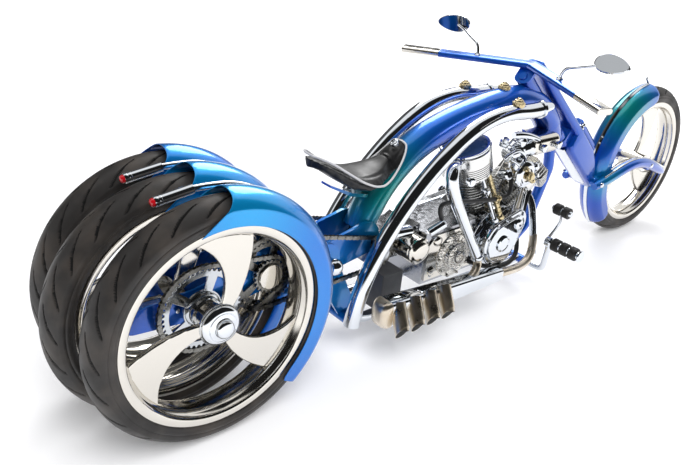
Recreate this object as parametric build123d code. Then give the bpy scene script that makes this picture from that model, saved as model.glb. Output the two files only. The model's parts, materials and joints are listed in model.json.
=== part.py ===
"""Motorized trike: a raked custom V-twin on three close-set rear wheels and one front wheel.

Millimetres, +X forward, +Y left, +Z up. Lengths along X are measured from the axle of the two
outer rear wheels while the parts are drawn; every part is then moved so that the origin lies on
the floor at mid length.
"""
import os
from math import acos, atan2, ceil, cos, hypot, pi, radians, sin

from build123d import *

# Wheels
RIM_SEAT_R = 266.0
REAR_SECTION = 84.0
FRONT_SECTION = 81.0
REAR_HALF = 54.0
FRONT_HALF = 50.0
TRACK_STEP = 162.0
MID_SETBACK = 34.0
WHEELBASE = 2340.0
REAR_R = RIM_SEAT_R + REAR_SECTION
FRONT_R = RIM_SEAT_R + FRONT_SECTION
RIM_LIP_R = RIM_SEAT_R + 20
BARREL_R = RIM_SEAT_R - 16
HUB_R = 38.0
AXLE_R = 14.0
RUN_GAP = 0.3
BLADE_COUNT = 3

# Fenders
FENDER_CROWN = 20.0
FENDER_SKIRT_R = RIM_LIP_R + 2
FENDER_WALL = 2.5
FENDER_SIDE_GAP = 4.5

# Drive line between the rear wheels
LEG_IN = 63.0
LEG_OUT = 70.0
CHAIN_IN_Y = (72.5, 84.5)
CHAIN_OUT_Y = (88.0, 100.0)
CHAIN_HEIGHT = 14.0
CHAIN_PITCH = 25.4
SPROCKET_THICK = 7.0
SPOKE_WIDTH = 24.0
WHEEL_SPROCKET_R = 118.0
JACK_OUT_R = 52.0
JACK_IN_R = 104.0
OUTPUT_R = 44.0
JACK_X, JACK_Z = REAR_R - 138, REAR_R + 38
OUTPUT_X, OUTPUT_Z = 648.0, 338.0
PIVOT_X, PIVOT_Z = REAR_R + 86, REAR_R + 10
DISC_R = 150.0

# Frame
BACKBONE_R = 52.0
RAIL_R = 18.0
RAIL_Y = 78.0
RAIL_Z = 105.0
DOWNTUBE_R = 22.0
SIDE_TUBE_R = 27.0
SIDE_TUBE_Y = 120.0
SEAT_HALF = 108.0

# Steering: the axis passes through (STEER_X, 0, STEER_Z) and leans back by RAKE from the vertical
STEER_X, STEER_Z = WHEELBASE - FRONT_R - 633, FRONT_R + 471
RAKE = 49.4
FOOT_X = STEER_X + 80
HEAD_R = 30.0
HEAD_START, HEAD_END = 0.0, 398.0
STEM_R = 14.0
SLAB_HALF = 55.0
LINK_Y = (63.0, 75.0)
SHOCK_N = 107.5
BAR_END_Y = 440.0
BAR_SWEEP = 213.0
BAR_FALL = 23.0
BAR_WIDE = 52.0
BAR_THICK = 22.0
MIRROR_AT = 0.41
GRIP_START = 0.7

# Engine
CRANK_X, CRANK_Z = 1215.0, 255.0
CRANK_R = 132.0
CRANK_HALF = 105.0
REAR_LEAN = -20.0
FRONT_LEAN = 50.0
FIN_R = 82.0
FIN_PITCH = 17.0
FIN_THICK = 5.0
CORE_R = 64.0

# Exhaust
TAIL_PIPES = 4
TAIL_X = 632.0
TAIL_STEP = 70.0
TAIL_R = 27.0
TAIL_LENGTH = 98.0
TAIL_BORE = 30.0
TAIL_AIM = (-0.25, -0.62, -0.745)

OVERALL = MID_SETBACK + REAR_R + WHEELBASE + FRONT_R
X_SHIFT = MID_SETBACK + REAR_R - OVERALL / 2
FRONT_X = WHEELBASE
LEFT, RIGHT = 1.0, -1.0

os.makedirs("parts", exist_ok=True)


def save(name, shape):
    """Move a finished part to the shared origin and write it as one file."""
    export_step(Pos(X_SHIFT, 0, 0) * shape, f"parts/{name}.step")


def flip(shape):
    """The same part on the other side of the machine."""
    return mirror(shape, about=Plane.XZ)


def cyl_y(x, z, r, y0, y1):
    """Cylinder lying across the machine between two values of Y."""
    return Pos(x, (y0 + y1) / 2, z) * Rot(90, 0, 0) * Cylinder(r, abs(y1 - y0))


def block(x0, x1, y0, y1, z0, z1):
    """Box between two corners."""
    return Pos((x0 + x1) / 2, (y0 + y1) / 2, (z0 + z1) / 2) * Box(x1 - x0, y1 - y0, z1 - z0)


def slab(face, y0, y1):
    """Face drawn in X and Z, given thickness from y0 to y1."""
    return extrude(Plane.XZ.offset(-y1) * face, amount=y1 - y0)


def rod(start, end, r, r_end=None):
    """Round bar or cone between two points."""
    a, b = Vector(*start), Vector(*end)
    plane = Plane(origin=a, z_dir=b - a)
    length = (b - a).length
    if r_end is None:
        return Solid.make_cylinder(r, length, plane)
    return Solid.make_cone(r, r_end, length, plane)


def swept(path, r):
    """Round tube along a path."""
    return sweep(Plane(origin=path @ 0, z_dir=path % 0) * Circle(r), path=path)


def arcs_xz(points, heading, y=0.0):
    """Chain of tangent arcs through (x, z) points, leaving the first one at a heading in degrees."""
    edges = []
    tangent = Vector(cos(radians(heading)), 0, sin(radians(heading)))
    for (xa, za), (xb, zb) in zip(points, points[1:]):
        arc = TangentArc((xa, y, za), (xb, y, zb), tangent=tangent)
        edges.append(arc)
        tangent = arc % 1
    return Wire(edges)


def bent(points, radius):
    """Straight runs through points in space, with a round bend at each corner."""
    return FilletPolyline(*points, radius=radius)


def lobes(table):
    """Outline round a row of circles given as (x, z, radius), filled in."""
    body = None
    for (xa, za, ra), (xb, zb, rb) in zip(table, table[1:]):
        reach = hypot(xb - xa, zb - za)
        turn = atan2(zb - za, xb - xa)
        swing = acos((ra - rb) / reach)
        corners = []
        for x, z, r, side in ((xa, za, ra, 1), (xb, zb, rb, 1), (xb, zb, rb, -1), (xa, za, ra, -1)):
            corners.append((x + r * cos(turn + side * swing), z + r * sin(turn + side * swing)))
        part = make_face(Polyline(*corners, close=True)) + Pos(xa, za) * Circle(ra)
        part = part + Pos(xb, zb) * Circle(rb)
        body = part if body is None else body + part
    return body


def steer(s, n, y=0.0):
    """Point given along the steering axis (s, downwards), ahead of it (n) and across (y)."""
    lean = radians(RAKE)
    return (STEER_X + s * sin(lean) + n * cos(lean), y, STEER_Z - s * cos(lean) + n * sin(lean))


def steer_face(points):
    """Face in X and Z from corners given in steering coordinates."""
    corners = []
    for s, n in points:
        x, _, z = steer(s, n)
        corners.append((x, z))
    return make_face(Polyline(*corners, close=True))


def polar(r, angle):
    """Point at a radius and an angle in degrees."""
    return (r * cos(radians(angle)), r * sin(radians(angle)))


# Wheel pieces, drawn at the origin with the axle along Y and the outer side towards -Y

def tyre(radius, half):
    """Round-shouldered road tyre seated on the rim."""
    side = half - 4
    shoulder = radius - 25
    bead = RIM_LIP_R - 2
    bulge = (RIM_LIP_R + shoulder) / 2 - 5
    with BuildPart() as out:
        with BuildSketch(Plane.XY):
            with BuildLine():
                Polyline((RIM_SEAT_R, -half + 12), (bead, -half + 10), (bulge, -half), (shoulder, -side))
                ThreePointArc((shoulder, -side), (radius, 0), (shoulder, side))
                Polyline((shoulder, side), (bulge, half), (bead, half - 10), (RIM_SEAT_R, half - 12),
                         (RIM_SEAT_R, -half + 12))
            make_face()
        revolve(axis=Axis.Y)
    return out.part


def rim(half, blade_y, hub_y):
    """Wide polished barrel with three swept blades and a bored hub."""
    w = half - 12
    ring = [(RIM_SEAT_R, w), (RIM_SEAT_R, -w), (RIM_LIP_R - 2, -w - 2), (RIM_LIP_R, -w - 5),
            (RIM_LIP_R - 2, -w - 8), (RIM_SEAT_R - 4, -w - 5), (BARREL_R, -w + 14), (BARREL_R, w - 14),
            (RIM_SEAT_R - 4, w + 5), (RIM_LIP_R - 2, w + 8), (RIM_LIP_R, w + 5), (RIM_LIP_R - 2, w + 2)]
    body = revolve(make_face(Polyline(*ring, close=True)), Axis.Y)
    root = HUB_R - 12
    tip = BARREL_R + 4
    waist = 0.56 * BARREL_R
    with BuildSketch() as blade:
        with BuildLine():
            ThreePointArc(polar(root, 34), polar(waist, 56), polar(tip, 68))
            ThreePointArc(polar(tip, 68), polar(tip, 88), polar(tip, 107))
            ThreePointArc(polar(tip, 107), polar(waist, 85), polar(root, 112))
            Line(polar(root, 112), polar(root, 34))
        make_face()
    one = slab(blade.sketch, *blade_y)
    for i in range(BLADE_COUNT):
        body = body + Rot(0, i * 360 / BLADE_COUNT, 0) * one
    body = body + cyl_y(0, 0, HUB_R, *hub_y)
    return body - cyl_y(0, 0, AXLE_R + RUN_GAP, hub_y[0] - 1, hub_y[1] + 1)


def hub_cap(y_face):
    """Stepped chrome dome with a round nut, closing the outer end of a hub."""
    steps = [(0, 0), (58, 0), (59, -6), (55, -17), (46, -24), (38, -27), (26, -29), (25, -39), (17, -44),
             (0, -45)]
    return Pos(0, y_face, 0) * revolve(make_face(Polyline(*steps, close=True)), Axis.Y)


def toothed(radius, y0, y1, bore, windows=0, window_in=0.0, window_out=0.0):
    """Sprocket with pointed teeth; windows between two radii leave as many spokes."""
    teeth = round(2 * pi * radius / CHAIN_PITCH)
    rim_points = []
    for i in range(2 * teeth):
        r = radius if i % 2 == 0 else radius - 8
        a = i * pi / teeth
        rim_points.append((r * cos(a), r * sin(a)))
    face = make_face(Polyline(*rim_points, close=True)) - Circle(bore)
    if windows:
        ring = Circle(window_out) - Circle(window_in)
        for i in range(windows):
            ring = ring - Rot(0, 0, 360 * i / windows) * Pos(radius / 2, 0) * Rectangle(radius, SPOKE_WIDTH)
        face = face - ring
    return slab(face, y0, y1)


def loop_points(xa, za, ra, xb, zb, rb, step):
    """Even points and outward directions round a belt that wraps two circles."""
    reach = hypot(xb - xa, zb - za)
    turn = atan2(zb - za, xb - xa)
    swing = acos((ra - rb) / reach)
    run = reach * sin(swing)
    lengths = [run, rb * 2 * swing, run, ra * (2 * pi - 2 * swing)]
    total = sum(lengths)
    count = 2 * ceil(total / step / 2)
    result = []
    for i in range(count):
        d = i * total / count
        if d < lengths[0]:
            a = turn + swing
            x = xa + ra * cos(a) + d * cos(a - pi / 2)
            z = za + ra * sin(a) + d * sin(a - pi / 2)
        elif d < lengths[0] + lengths[1]:
            a = turn + swing - (d - lengths[0]) / rb
            x, z = xb + rb * cos(a), zb + rb * sin(a)
        elif d < lengths[0] + lengths[1] + lengths[2]:
            a = turn - swing
            e = d - lengths[0] - lengths[1]
            x = xb + rb * cos(a) + e * cos(a - pi / 2)
            z = zb + rb * sin(a) + e * sin(a - pi / 2)
        else:
            a = turn - swing - (d - lengths[0] - lengths[1] - lengths[2]) / ra
            x, z = xa + ra * cos(a), za + ra * sin(a)
        result.append((x, z, cos(a), sin(a)))
    return result


def chain(near, far, across):
    """Right-hand roller chain round two circles (x, z, radius), its outer edge rising at each pin."""
    outer = []
    for i, (x, z, dx, dz) in enumerate(loop_points(*near, *far, CHAIN_PITCH / 2)):
        rise = CHAIN_HEIGHT if i % 2 == 0 else CHAIN_HEIGHT - 4
        outer.append((x + rise * dx, z + rise * dz))
    band = make_face(Polyline(*outer, close=True)) - lobes([near, far])
    return slab(band, -across[1], -across[0])


def fender(radius, half, start, end):
    """Curved shell over part of a wheel between two angles, measured upwards from straight ahead."""
    crown = radius + FENDER_CROWN
    wide = half + FENDER_SIDE_GAP + FENDER_WALL
    bend = radius - 18
    inner, t = wide - FENDER_WALL, FENDER_WALL
    with BuildSketch() as section:
        with BuildLine():
            Line((FENDER_SKIRT_R, -wide), (bend, -wide))
            ThreePointArc((bend, -wide), (crown, 0), (bend, wide))
            Polyline((bend, wide), (FENDER_SKIRT_R, wide), (FENDER_SKIRT_R, inner), (bend, inner))
            ThreePointArc((bend, inner), (crown - t, 0), (bend, -inner))
            Polyline((bend, -inner), (FENDER_SKIRT_R, -inner), (FENDER_SKIRT_R, -wide))
        make_face()
    return revolve(Rot(0, -end, 0) * section.sketch, Axis.Y, revolution_arc=end - start)


# Rear wheels
side_rim = rim(REAR_HALF, (-22, -6), (-20, 63.5))
side_tyre = tyre(REAR_R, REAR_HALF)
side_sprocket = toothed(WHEEL_SPROCKET_R, 64, 64 + SPROCKET_THICK, AXLE_R + RUN_GAP, 5, 54, 98)
side_sprocket = side_sprocket + cyl_y(0, 0, HUB_R + 6, 38, 64) - cyl_y(0, 0, HUB_R, 30, 63.5)
side_sprocket = side_sprocket - cyl_y(0, 0, AXLE_R + RUN_GAP, 60, 80)
side_place = Pos(0, -TRACK_STEP, REAR_R)
for side, shift in (("right", lambda s: s), ("left", flip)):
    save(f"rear_tyre_{side}", shift(side_place * side_tyre))
    save(f"rear_rim_{side}", shift(side_place * (side_rim + hub_cap(-14))))
    save(f"rear_sprocket_{side}", shift(side_place * side_sprocket))
mid_place = Pos(-MID_SETBACK, 0, REAR_R)
save("rear_tyre_middle", mid_place * side_tyre)
disc = cyl_y(0, 0, DISC_R, -41, -36) - cyl_y(0, 0, DISC_R - 52, -50, -30) + cyl_y(0, 0, HUB_R + 14, -41, -34)
for i in range(5):
    disc = disc + Rot(0, 72 * i, 0) * block(HUB_R, DISC_R - 40, -41, -36, -11, 11)
disc = disc - cyl_y(0, 0, HUB_R - 2, -50, -30)
save("rear_rim_middle", mid_place * (rim(REAR_HALF, (-9, 9), (-56, 56)) + disc))

# Front wheel
front_place = Pos(FRONT_X, 0, FRONT_R)
save("front_tyre", front_place * tyre(FRONT_R, FRONT_HALF))
front_rim = rim(FRONT_HALF, (-9, 9), (-56, 56))
save("front_rim", front_place * front_rim)

# Swingarm legs: one plate in each gap between the rear wheels, with a stub axle for the outer wheel
caliper_x = -MID_SETBACK - DISC_R
leg_face = lobes([(caliper_x + 8, REAR_R, 34), (0, REAR_R, 48), (JACK_X, JACK_Z, 58), (PIVOT_X, PIVOT_Z, 56)])
lamp_foot = (JACK_X + 26, JACK_Z + 204)
leg_face = leg_face + lobes([(JACK_X, JACK_Z, 40), (JACK_X + 20, JACK_Z + 132, 24), (*lamp_foot, 18)])
damper_eye = (PIVOT_X - 64, PIVOT_Z - 128)
leg_face = leg_face + lobes([(PIVOT_X, PIVOT_Z, 40), (*damper_eye, 20)])
leg = slab(leg_face, -LEG_OUT, -LEG_IN) + cyl_y(0, REAR_R, AXLE_R, -TRACK_STEP - 12, -LEG_OUT)
leg = leg + cyl_y(0, REAR_R, 24, -86, -LEG_OUT)
leg = leg - cyl_y(-MID_SETBACK, REAR_R, 9, -80, -60) - cyl_y(PIVOT_X, PIVOT_Z, 20, -80, -60)
mid_axle = cyl_y(-MID_SETBACK, REAR_R, AXLE_R, -LEG_IN, LEG_IN) + cyl_y(-MID_SETBACK, REAR_R, 9, -77, 77)
save("middle_axle", mid_axle)
pivot = cyl_y(PIVOT_X, PIVOT_Z, 20, -104, 104) + Pos(PIVOT_X, -112, PIVOT_Z) * Sphere(26)
pivot = pivot + Pos(PIVOT_X, 112, PIVOT_Z) * Sphere(26)
save("swingarm_pivot", pivot)

# Jackshafts, wheel chains and input chains
jack = cyl_y(0, 0, AXLE_R, -100, -LEG_OUT) + cyl_y(0, 0, 34, -106, -97)
jack = jack + toothed(JACK_IN_R, -82, -75, AXLE_R, 5, 40, 84)
jack = jack + toothed(JACK_OUT_R, -97.5, -90.5, AXLE_R)
jack = Pos(JACK_X, 0, JACK_Z) * jack
out_chain = chain((0, REAR_R, WHEEL_SPROCKET_R + 0.6), (JACK_X, JACK_Z, JACK_OUT_R), CHAIN_OUT_Y)
in_chain = chain((JACK_X, JACK_Z, JACK_IN_R), (OUTPUT_X, OUTPUT_Z, OUTPUT_R), CHAIN_IN_Y)
save("jackshafts", jack + flip(jack))
save("wheel_chains", out_chain + flip(out_chain))
save("input_chains", in_chain + flip(in_chain))

# Brake: a caliper over the middle wheel's disc, on the tail of the right leg
caliper = block(caliper_x - 22, caliper_x + 34, -LEG_IN, -24, REAR_R - 34, REAR_R + 34)
caliper = caliper - cyl_y(-MID_SETBACK, REAR_R, DISC_R + 5, -43.5, -33.5)
caliper = caliper - cyl_y(-MID_SETBACK, REAR_R, DISC_R - 54, -LEG_IN, -24)
save("swingarm_leg_left", flip(leg))
leg = leg + caliper
save("swingarm_leg_right", leg)

# Rear fenders: slanted rear edge over the axle, long rounded tip ahead of the tyre
shell = fender(REAR_R, REAR_HALF, -55, 112)
crown_r = REAR_R + FENDER_CROWN
far = crown_r + 50
slant = [(-far, 0), (-far, far), (14, far), (22, crown_r + 2), (2, crown_r - 34), (-28, crown_r - 62),
         (-84, FENDER_SKIRT_R - 18), (-84, 0)]
slant = make_face(Polyline(*slant, close=True))
tip_cut = [(60, -far), (far, -far), polar(far + 60, -31), polar(crown_r + 5, -45.7),
           polar(FENDER_SKIRT_R - 8, -52.5), (60, -120)]
tip_cut = make_face(Polyline(*tip_cut, close=True))
shell = shell - slab(slant, -100, 100) - slab(tip_cut, -100, 100)
side_shell = side_place * shell
mid_shell = Pos(-8, 0, REAR_R + 6) * shell
save("rear_fender_right", side_shell)
save("rear_fender_left", flip(side_shell))
save("rear_fender_middle", mid_shell)

# Tail lamps: chrome tubes in the gaps between the fenders
lamp_y = -81.0
lamp_z = REAR_R + crown_r - 28
lamp_path = arcs_xz([(-20, lamp_z), (60, lamp_z - 4), lamp_foot], 0, lamp_y)
lamp = swept(lamp_path, 9) + rod((-118, lamp_y, lamp_z - 14), (-20, lamp_y, lamp_z), 13)
lamp = lamp + cyl_y(*lamp_foot, 10, lamp_y, -LEG_OUT)
lamp = lamp + cyl_y(150, lamp_z - 37, 6, -103, -59) - side_shell - mid_shell
save("tail_lamps", lamp + flip(lamp))
lens = rod((-132, lamp_y, lamp_z - 16), (-118, lamp_y, lamp_z - 14), 11) - lamp
save("tail_lenses", lens + flip(lens))

# Frame
neck = (STEER_X + 200, STEER_Z - 190)
backbone_path = arcs_xz([(622, 405), (896, 672), (STEER_X - 67, STEER_Z - 72), neck], 70)
backbone = swept(backbone_path, BACKBONE_R)
nose = backbone_path % 1
end_point = backbone_path @ 1
neck_end = end_point + nose * 78
backbone = backbone + rod((end_point.X, 0, end_point.Z), (neck_end.X, 0, neck_end.Z), BACKBONE_R, 44)
backbone = backbone + rod(steer(HEAD_START, 0), steer(HEAD_END, 0), HEAD_R)
backbone = backbone - rod(steer(HEAD_START - 5, 0), steer(HEAD_END + 5, 0), STEM_R + RUN_GAP)
save("frame_backbone", backbone)

down_path = [(STEER_X + 252, 0, STEER_Z - 258), (STEER_X + 280, 0, STEER_Z - 388),
             (FOOT_X + 120, 0, RAIL_Z + 85), (FOOT_X, 0, RAIL_Z)]
down = swept(bent(down_path, 60), DOWNTUBE_R)
down = down + cyl_y(FOOT_X, RAIL_Z, RAIL_R, -RAIL_Y - 30, RAIL_Y + 30)
down = down - backbone
save("frame_downtube", down)

rear_face = lobes([(PIVOT_X, PIVOT_Z, 52), (600, 392, 56)])
rear_face = rear_face + lobes([(PIVOT_X, PIVOT_Z, 44), (548, 150, 34)])
rear_plates = slab(rear_face, -62, -50) + slab(rear_face, 50, 62) + cyl_y(PIVOT_X, PIVOT_Z, 40, -62, 62)
rear_plates = rear_plates + cyl_y(548, 150, 26, -62, 62) - cyl_y(PIVOT_X, PIVOT_Z, 20, -80, 80)
rear_plates = rear_plates + cyl_y(530, RAIL_Z + 23, 15, -RAIL_Y - 20, RAIL_Y + 20)
rear_plates = rear_plates - backbone - block(625, 700, -70, 70, 250, 385)
rails = None
for side in (LEFT, RIGHT):
    y = side * RAIL_Y
    rail = swept(bent([(540, y, RAIL_Z + 23), (620, y, RAIL_Z), (FOOT_X, y, RAIL_Z)], 60), RAIL_R)
    rails = rail if rails is None else rails + rail
rails = rails - down - rear_plates
save("frame_rear", rear_plates)
save("frame_rails", rails)

# Chrome side tubes with filler caps
caps = None
for side, name in ((RIGHT, "right"), (LEFT, "left")):
    y = side * SIDE_TUBE_Y
    tube_front = [(STEER_X - 164, STEER_Z - 70), (STEER_X - 44, STEER_Z - 74)]
    path = arcs_xz([(523, RAIL_Z + 23), (608, 375), (908, 681), *tube_front], 83, y)
    ahead = path % 1
    tip = path @ 1
    nose_end = tip + ahead * 58
    tube = swept(path, SIDE_TUBE_R) + rod(tuple(tip - ahead * 8), tuple(tip + ahead * 4), SIDE_TUBE_R + 4)
    tube = tube + rod(tuple(tip), tuple(nose_end), SIDE_TUBE_R - 3, 15) + Pos(*nose_end) * Sphere(15)
    tube = tube - rear_plates
    cap_x, cap_z = STEER_X - 177, STEER_Z - 58
    cap = rod((cap_x, y, cap_z), (cap_x, y, cap_z + 40), 17)
    cap = cap + rod((cap_x, y, cap_z + 12), (cap_x, y, cap_z + 26), 23) - tube
    caps = cap if caps is None else caps + cap
    save(f"side_tube_{name}", tube)
top_x, top_z = STEER_X - 110, STEER_Z - 38
top_cap = rod((top_x, 0, top_z), (top_x, 0, top_z + 42), 15)
top_cap = top_cap + rod((top_x, 0, top_z + 20), (top_x, 0, top_z + 31), 21) - backbone
save("filler_caps", caps + top_cap)

# Engine
case = cyl_y(CRANK_X, CRANK_Z, CRANK_R, -CRANK_HALF, CRANK_HALF) - rails
cam_face = lobes([(CRANK_X, CRANK_Z, 96), (1292, 318, 52)])
cam_cover = slab(cam_face, -CRANK_HALF - 38, -CRANK_HALF)


def along(lean, d, y=0.0):
    """Point at distance d from the crank along a cylinder that leans by an angle."""
    return (CRANK_X + d * sin(radians(lean)), y, CRANK_Z + d * cos(radians(lean)))


def barrel(lean, start, end):
    """Finned cylinder barrel."""
    body = rod(along(lean, start), along(lean, end), CORE_R)
    fins = int((end - start - 20) / FIN_PITCH)
    for i in range(fins):
        d = start + 16 + i * FIN_PITCH
        body = body + rod(along(lean, d), along(lean, d + FIN_THICK), FIN_R)
    return body


rear_barrel = barrel(REAR_LEAN, 110, 268) - case
front_barrel = barrel(FRONT_LEAN, 110, 245) - case
rear_head = rod(along(REAR_LEAN, 268), along(REAR_LEAN, 372), 94)
for i in range(4):
    d = 290 + i * 18
    rear_head = rear_head - (rod(along(REAR_LEAN, d), along(REAR_LEAN, d + 6), 100)
                             - rod(along(REAR_LEAN, d), along(REAR_LEAN, d + 6), 84))
rear_lid = rod(along(REAR_LEAN, 372), along(REAR_LEAN, 380), 86)
front_head = rod(along(FRONT_LEAN, 245), along(FRONT_LEAN, 290), 80)
across = Vector(cos(radians(FRONT_LEAN)), 0, -sin(radians(FRONT_LEAN)))
cover_plane = Plane(origin=along(FRONT_LEAN, 290), x_dir=(0, 1, 0), z_dir=across)
front_head = front_head + cover_plane * Pos(0, -20, 0) * Box(90, 40, 136)
for i in range(9):
    offset = 16 * (i - 4)
    plate = Box(156 - abs(offset) * 0.7, 56 - abs(offset) * 0.2, 7)
    front_head = front_head + cover_plane * Pos(0, -28, offset) * plate
save("crankcase", case)
save("rear_cylinder", rear_barrel)
save("front_cylinder", front_barrel)
save("rear_head", rear_head)
save("rear_head_lid", rear_lid)
save("front_head", front_head - front_barrel)

gearbox = block(850, 1120, -95, 95, 165, 360) + block(628, 850, -58, 58, 288, 384)
output = cyl_y(OUTPUT_X, OUTPUT_Z, 12, -88, 88) + cyl_y(OUTPUT_X, OUTPUT_Z, 28, -100, -88)
for side in (LEFT, RIGHT):
    y0, y1 = sorted((side * 75, side * 82))
    output = output + Pos(OUTPUT_X, 0, OUTPUT_Z) * toothed(OUTPUT_R, y0, y1, 12)
gearbox = gearbox - case - rear_barrel - output - backbone
save("output_sprockets", output)
for r, y0, y1 in ((66, -106, -90), (52, -122, -106), (24, -132, -122)):
    gearbox = gearbox + cyl_y(1000, 248, r, y0, y1)
save("gearbox", gearbox)
primary = slab(lobes([(CRANK_X, CRANK_Z, 112), (930, 265, 84)]), CRANK_HALF, CRANK_HALF + 44) - case
save("primary_cover", primary)
save("starter_drum", cyl_y(770, 338, 46, -150, -58) + cyl_y(770, 338, 36, -158, -150))
# Intake: a mixing body in the valley between the cylinders feeds a rounded plenum beside the neck
plenum = fillet(block(1372, 1528, -104, 16, 548, 622).edges(), 26)
mixer = rod((1296, -34, 452), (1372, -34, 560), 30)
mixer = mixer + cyl_y(1325, 494, 42, -104, -34) + cyl_y(1325, 494, 30, -118, -104)
intake = plenum + mixer - rear_barrel - front_barrel - rear_head - front_head - case - backbone - down
save("intake", intake)
rods = None
for (xa, za), (xb, zb, yb) in (((1178, 342), (1112, 520, -70)), ((1208, 346), (1150, 534, -66)),
                               ((1290, 356), (1392, 442, -62)), ((1322, 330), (1418, 408, -58))):
    one = rod((xa, -CRANK_HALF - 20, za), (xb, yb, zb), 8)
    rods = one if rods is None else rods + one
rods = rods - rear_head - front_head - rear_barrel - front_barrel - case - intake
save("cam_cover", cam_cover + rods)
save("battery", block(652, 742, -112, -20, RAIL_Z + RAIL_R, 262))

# Twin dampers low between the frame plates and the swingarm
dampers = None
for side in (LEFT, RIGHT):
    y = side * 34
    eye, mid, foot = (damper_eye[0], y, damper_eye[1]), (468, y, 196), (528, y, 174)
    damper = rod(eye, mid, 15) + rod(mid, foot, 10)
    dampers = damper if dampers is None else dampers + damper
dampers = dampers + cyl_y(*damper_eye, 9, -LEG_IN, LEG_IN) - rear_plates
save("dampers", dampers)

# Exhaust
header = swept(bent([(1040, -70, 560), (935, -150, 545), (1062, -166, 262), (1000, -188, 192)], 30), 24)
front_run = [(1420, -66, 430), (1372, -150, 390), (1345, -168, 290), (1376, -178, 205), (1150, -190, 168)]
front_pipe = swept(bent(front_run, 40), 22)
with BuildPart() as box:
    with BuildSketch(Plane.YZ.offset(590)):
        with Locations((-190, 190)):
            RectangleRounded(70, 90, 14)
    with BuildSketch(Plane.YZ.offset(1165)):
        with Locations((-190, 166)):
            RectangleRounded(44, 50, 14)
    loft()
silencer = box.part
pipes = None
for i in range(TAIL_PIPES):
    root = Vector(TAIL_X + i * TAIL_STEP, -205, 223)
    out = Vector(*TAIL_AIM).normalized()
    mouth = root + out * TAIL_LENGTH
    pipe = (rod(tuple(root), tuple(mouth), TAIL_R) - silencer).solids().sort_by(Axis.Y)[0]
    pipe = pipe - rod(tuple(mouth - out * TAIL_BORE), tuple(mouth + out), TAIL_R - 3.5)
    pipe = pipe - rod(tuple(mouth - out * (TAIL_BORE + 4)), tuple(mouth - out * TAIL_BORE), TAIL_R - 2)
    pipes = pipe if pipes is None else pipes + pipe
save("tail_pipes", pipes)
header = header + rod((938, -151, 536), (1046, -164, 296), 36, 27)
header = header - silencer - pipes - rear_head - gearbox
front_pipe = front_pipe - silencer - front_head - front_barrel - cam_cover - rods
save("exhaust_box", silencer)
save("rear_header", header)
save("front_header", front_pipe)

# Seat on its bracket
with BuildSketch() as side_view:
    with BuildLine():
        ThreePointArc((396, 692), (468, 622), (575, 600))
        ThreePointArc((575, 600), (680, 618), (778, 688))
        Polyline((778, 688), (782, 640), (700, 566), (575, 550), (470, 606), (392, 660), (396, 692))
    make_face()
plan = lobes([(442, 0, 48), (575, 0, 106), (690, 0, 70), (746, 0, 36)])
saddle = slab(side_view.sketch, -SEAT_HALF, SEAT_HALF) & extrude(plan, amount=900)
saddle = saddle - backbone
save("seat", saddle)
strap_edge = [(470, 575), (470, 583), (560, 540), (640, 520), (640, 508), (556, 530)]
strap = slab(make_face(Polyline(*strap_edge, close=True)), -22, 22)
strap = strap - backbone - saddle
save("seat_bracket", strap)

# Forward controls
for side, name in ((RIGHT, "right"), (LEFT, "left")):
    peg_x, peg_z, pad_z = FOOT_X - 20, RAIL_Z + 147, RAIL_Z + 275
    arm_run = [(FOOT_X, side * 108, RAIL_Z), (FOOT_X, side * 190, RAIL_Z), (peg_x, side * 215, peg_z - 12)]
    arm = swept(bent(arm_run, 24), 12)
    peg = cyl_y(peg_x, peg_z, 13, side * 205, side * 325)
    for y in (248, 282, 316):
        peg = peg + cyl_y(peg_x, peg_z, 19, side * y - 9, side * y + 9)
    pedal = rod((peg_x, side * 215, peg_z), (peg_x - 15, side * 240, pad_z), 7)
    pedal = pedal + block(peg_x - 40, peg_x + 10, side * 250 - 30, side * 250 + 30, pad_z, pad_z + 12)
    save(f"foot_control_{name}", arm + peg + pedal)

# Steering: fork body, bar, mirrors, front links and fender
fork_edge = [(-38, 47), (-38, 84), (610, 84), (705, 50), (775, 6), (785, -22), (740, -25), (440, -25),
             (436, 47)]
fork = slab(steer_face(fork_edge), -SLAB_HALF, SLAB_HALF)
for s0, s1 in ((-30, -3), (403, 438)):
    fork = fork + slab(steer_face([(s0, 0), (s0, 52), (s1, 52), (s1, 0)]), -34, 34)
    fork = fork + rod(steer(s0, 0), steer(s1, 0), 26)
fork = fork + rod(steer(-20, 0), steer(430, 0), STEM_R)
link_pivot = steer(752, 0)
fork = fork + cyl_y(link_pivot[0], link_pivot[2], 20, -LINK_Y[0], LINK_Y[0])
apex = Vector(STEER_X + 25, 0, STEER_Z + 48)


def bar_point(side, share):
    """Point along one arm of the bar, from the apex (0) to the end (1)."""
    return apex + Vector(-BAR_SWEEP, side * BAR_END_Y, -BAR_FALL) * share


def plank(side, first, last):
    """Flat rounded stretch of one arm of the bar."""
    start, end = bar_point(side, first), bar_point(side, last)
    flat = Plane(origin=start, x_dir=(1, 0, 0.1), z_dir=end - start)
    section = flat * RectangleRounded(BAR_WIDE, BAR_THICK, BAR_THICK / 2 - 1)
    return extrude(section, amount=(end - start).length)


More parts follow.
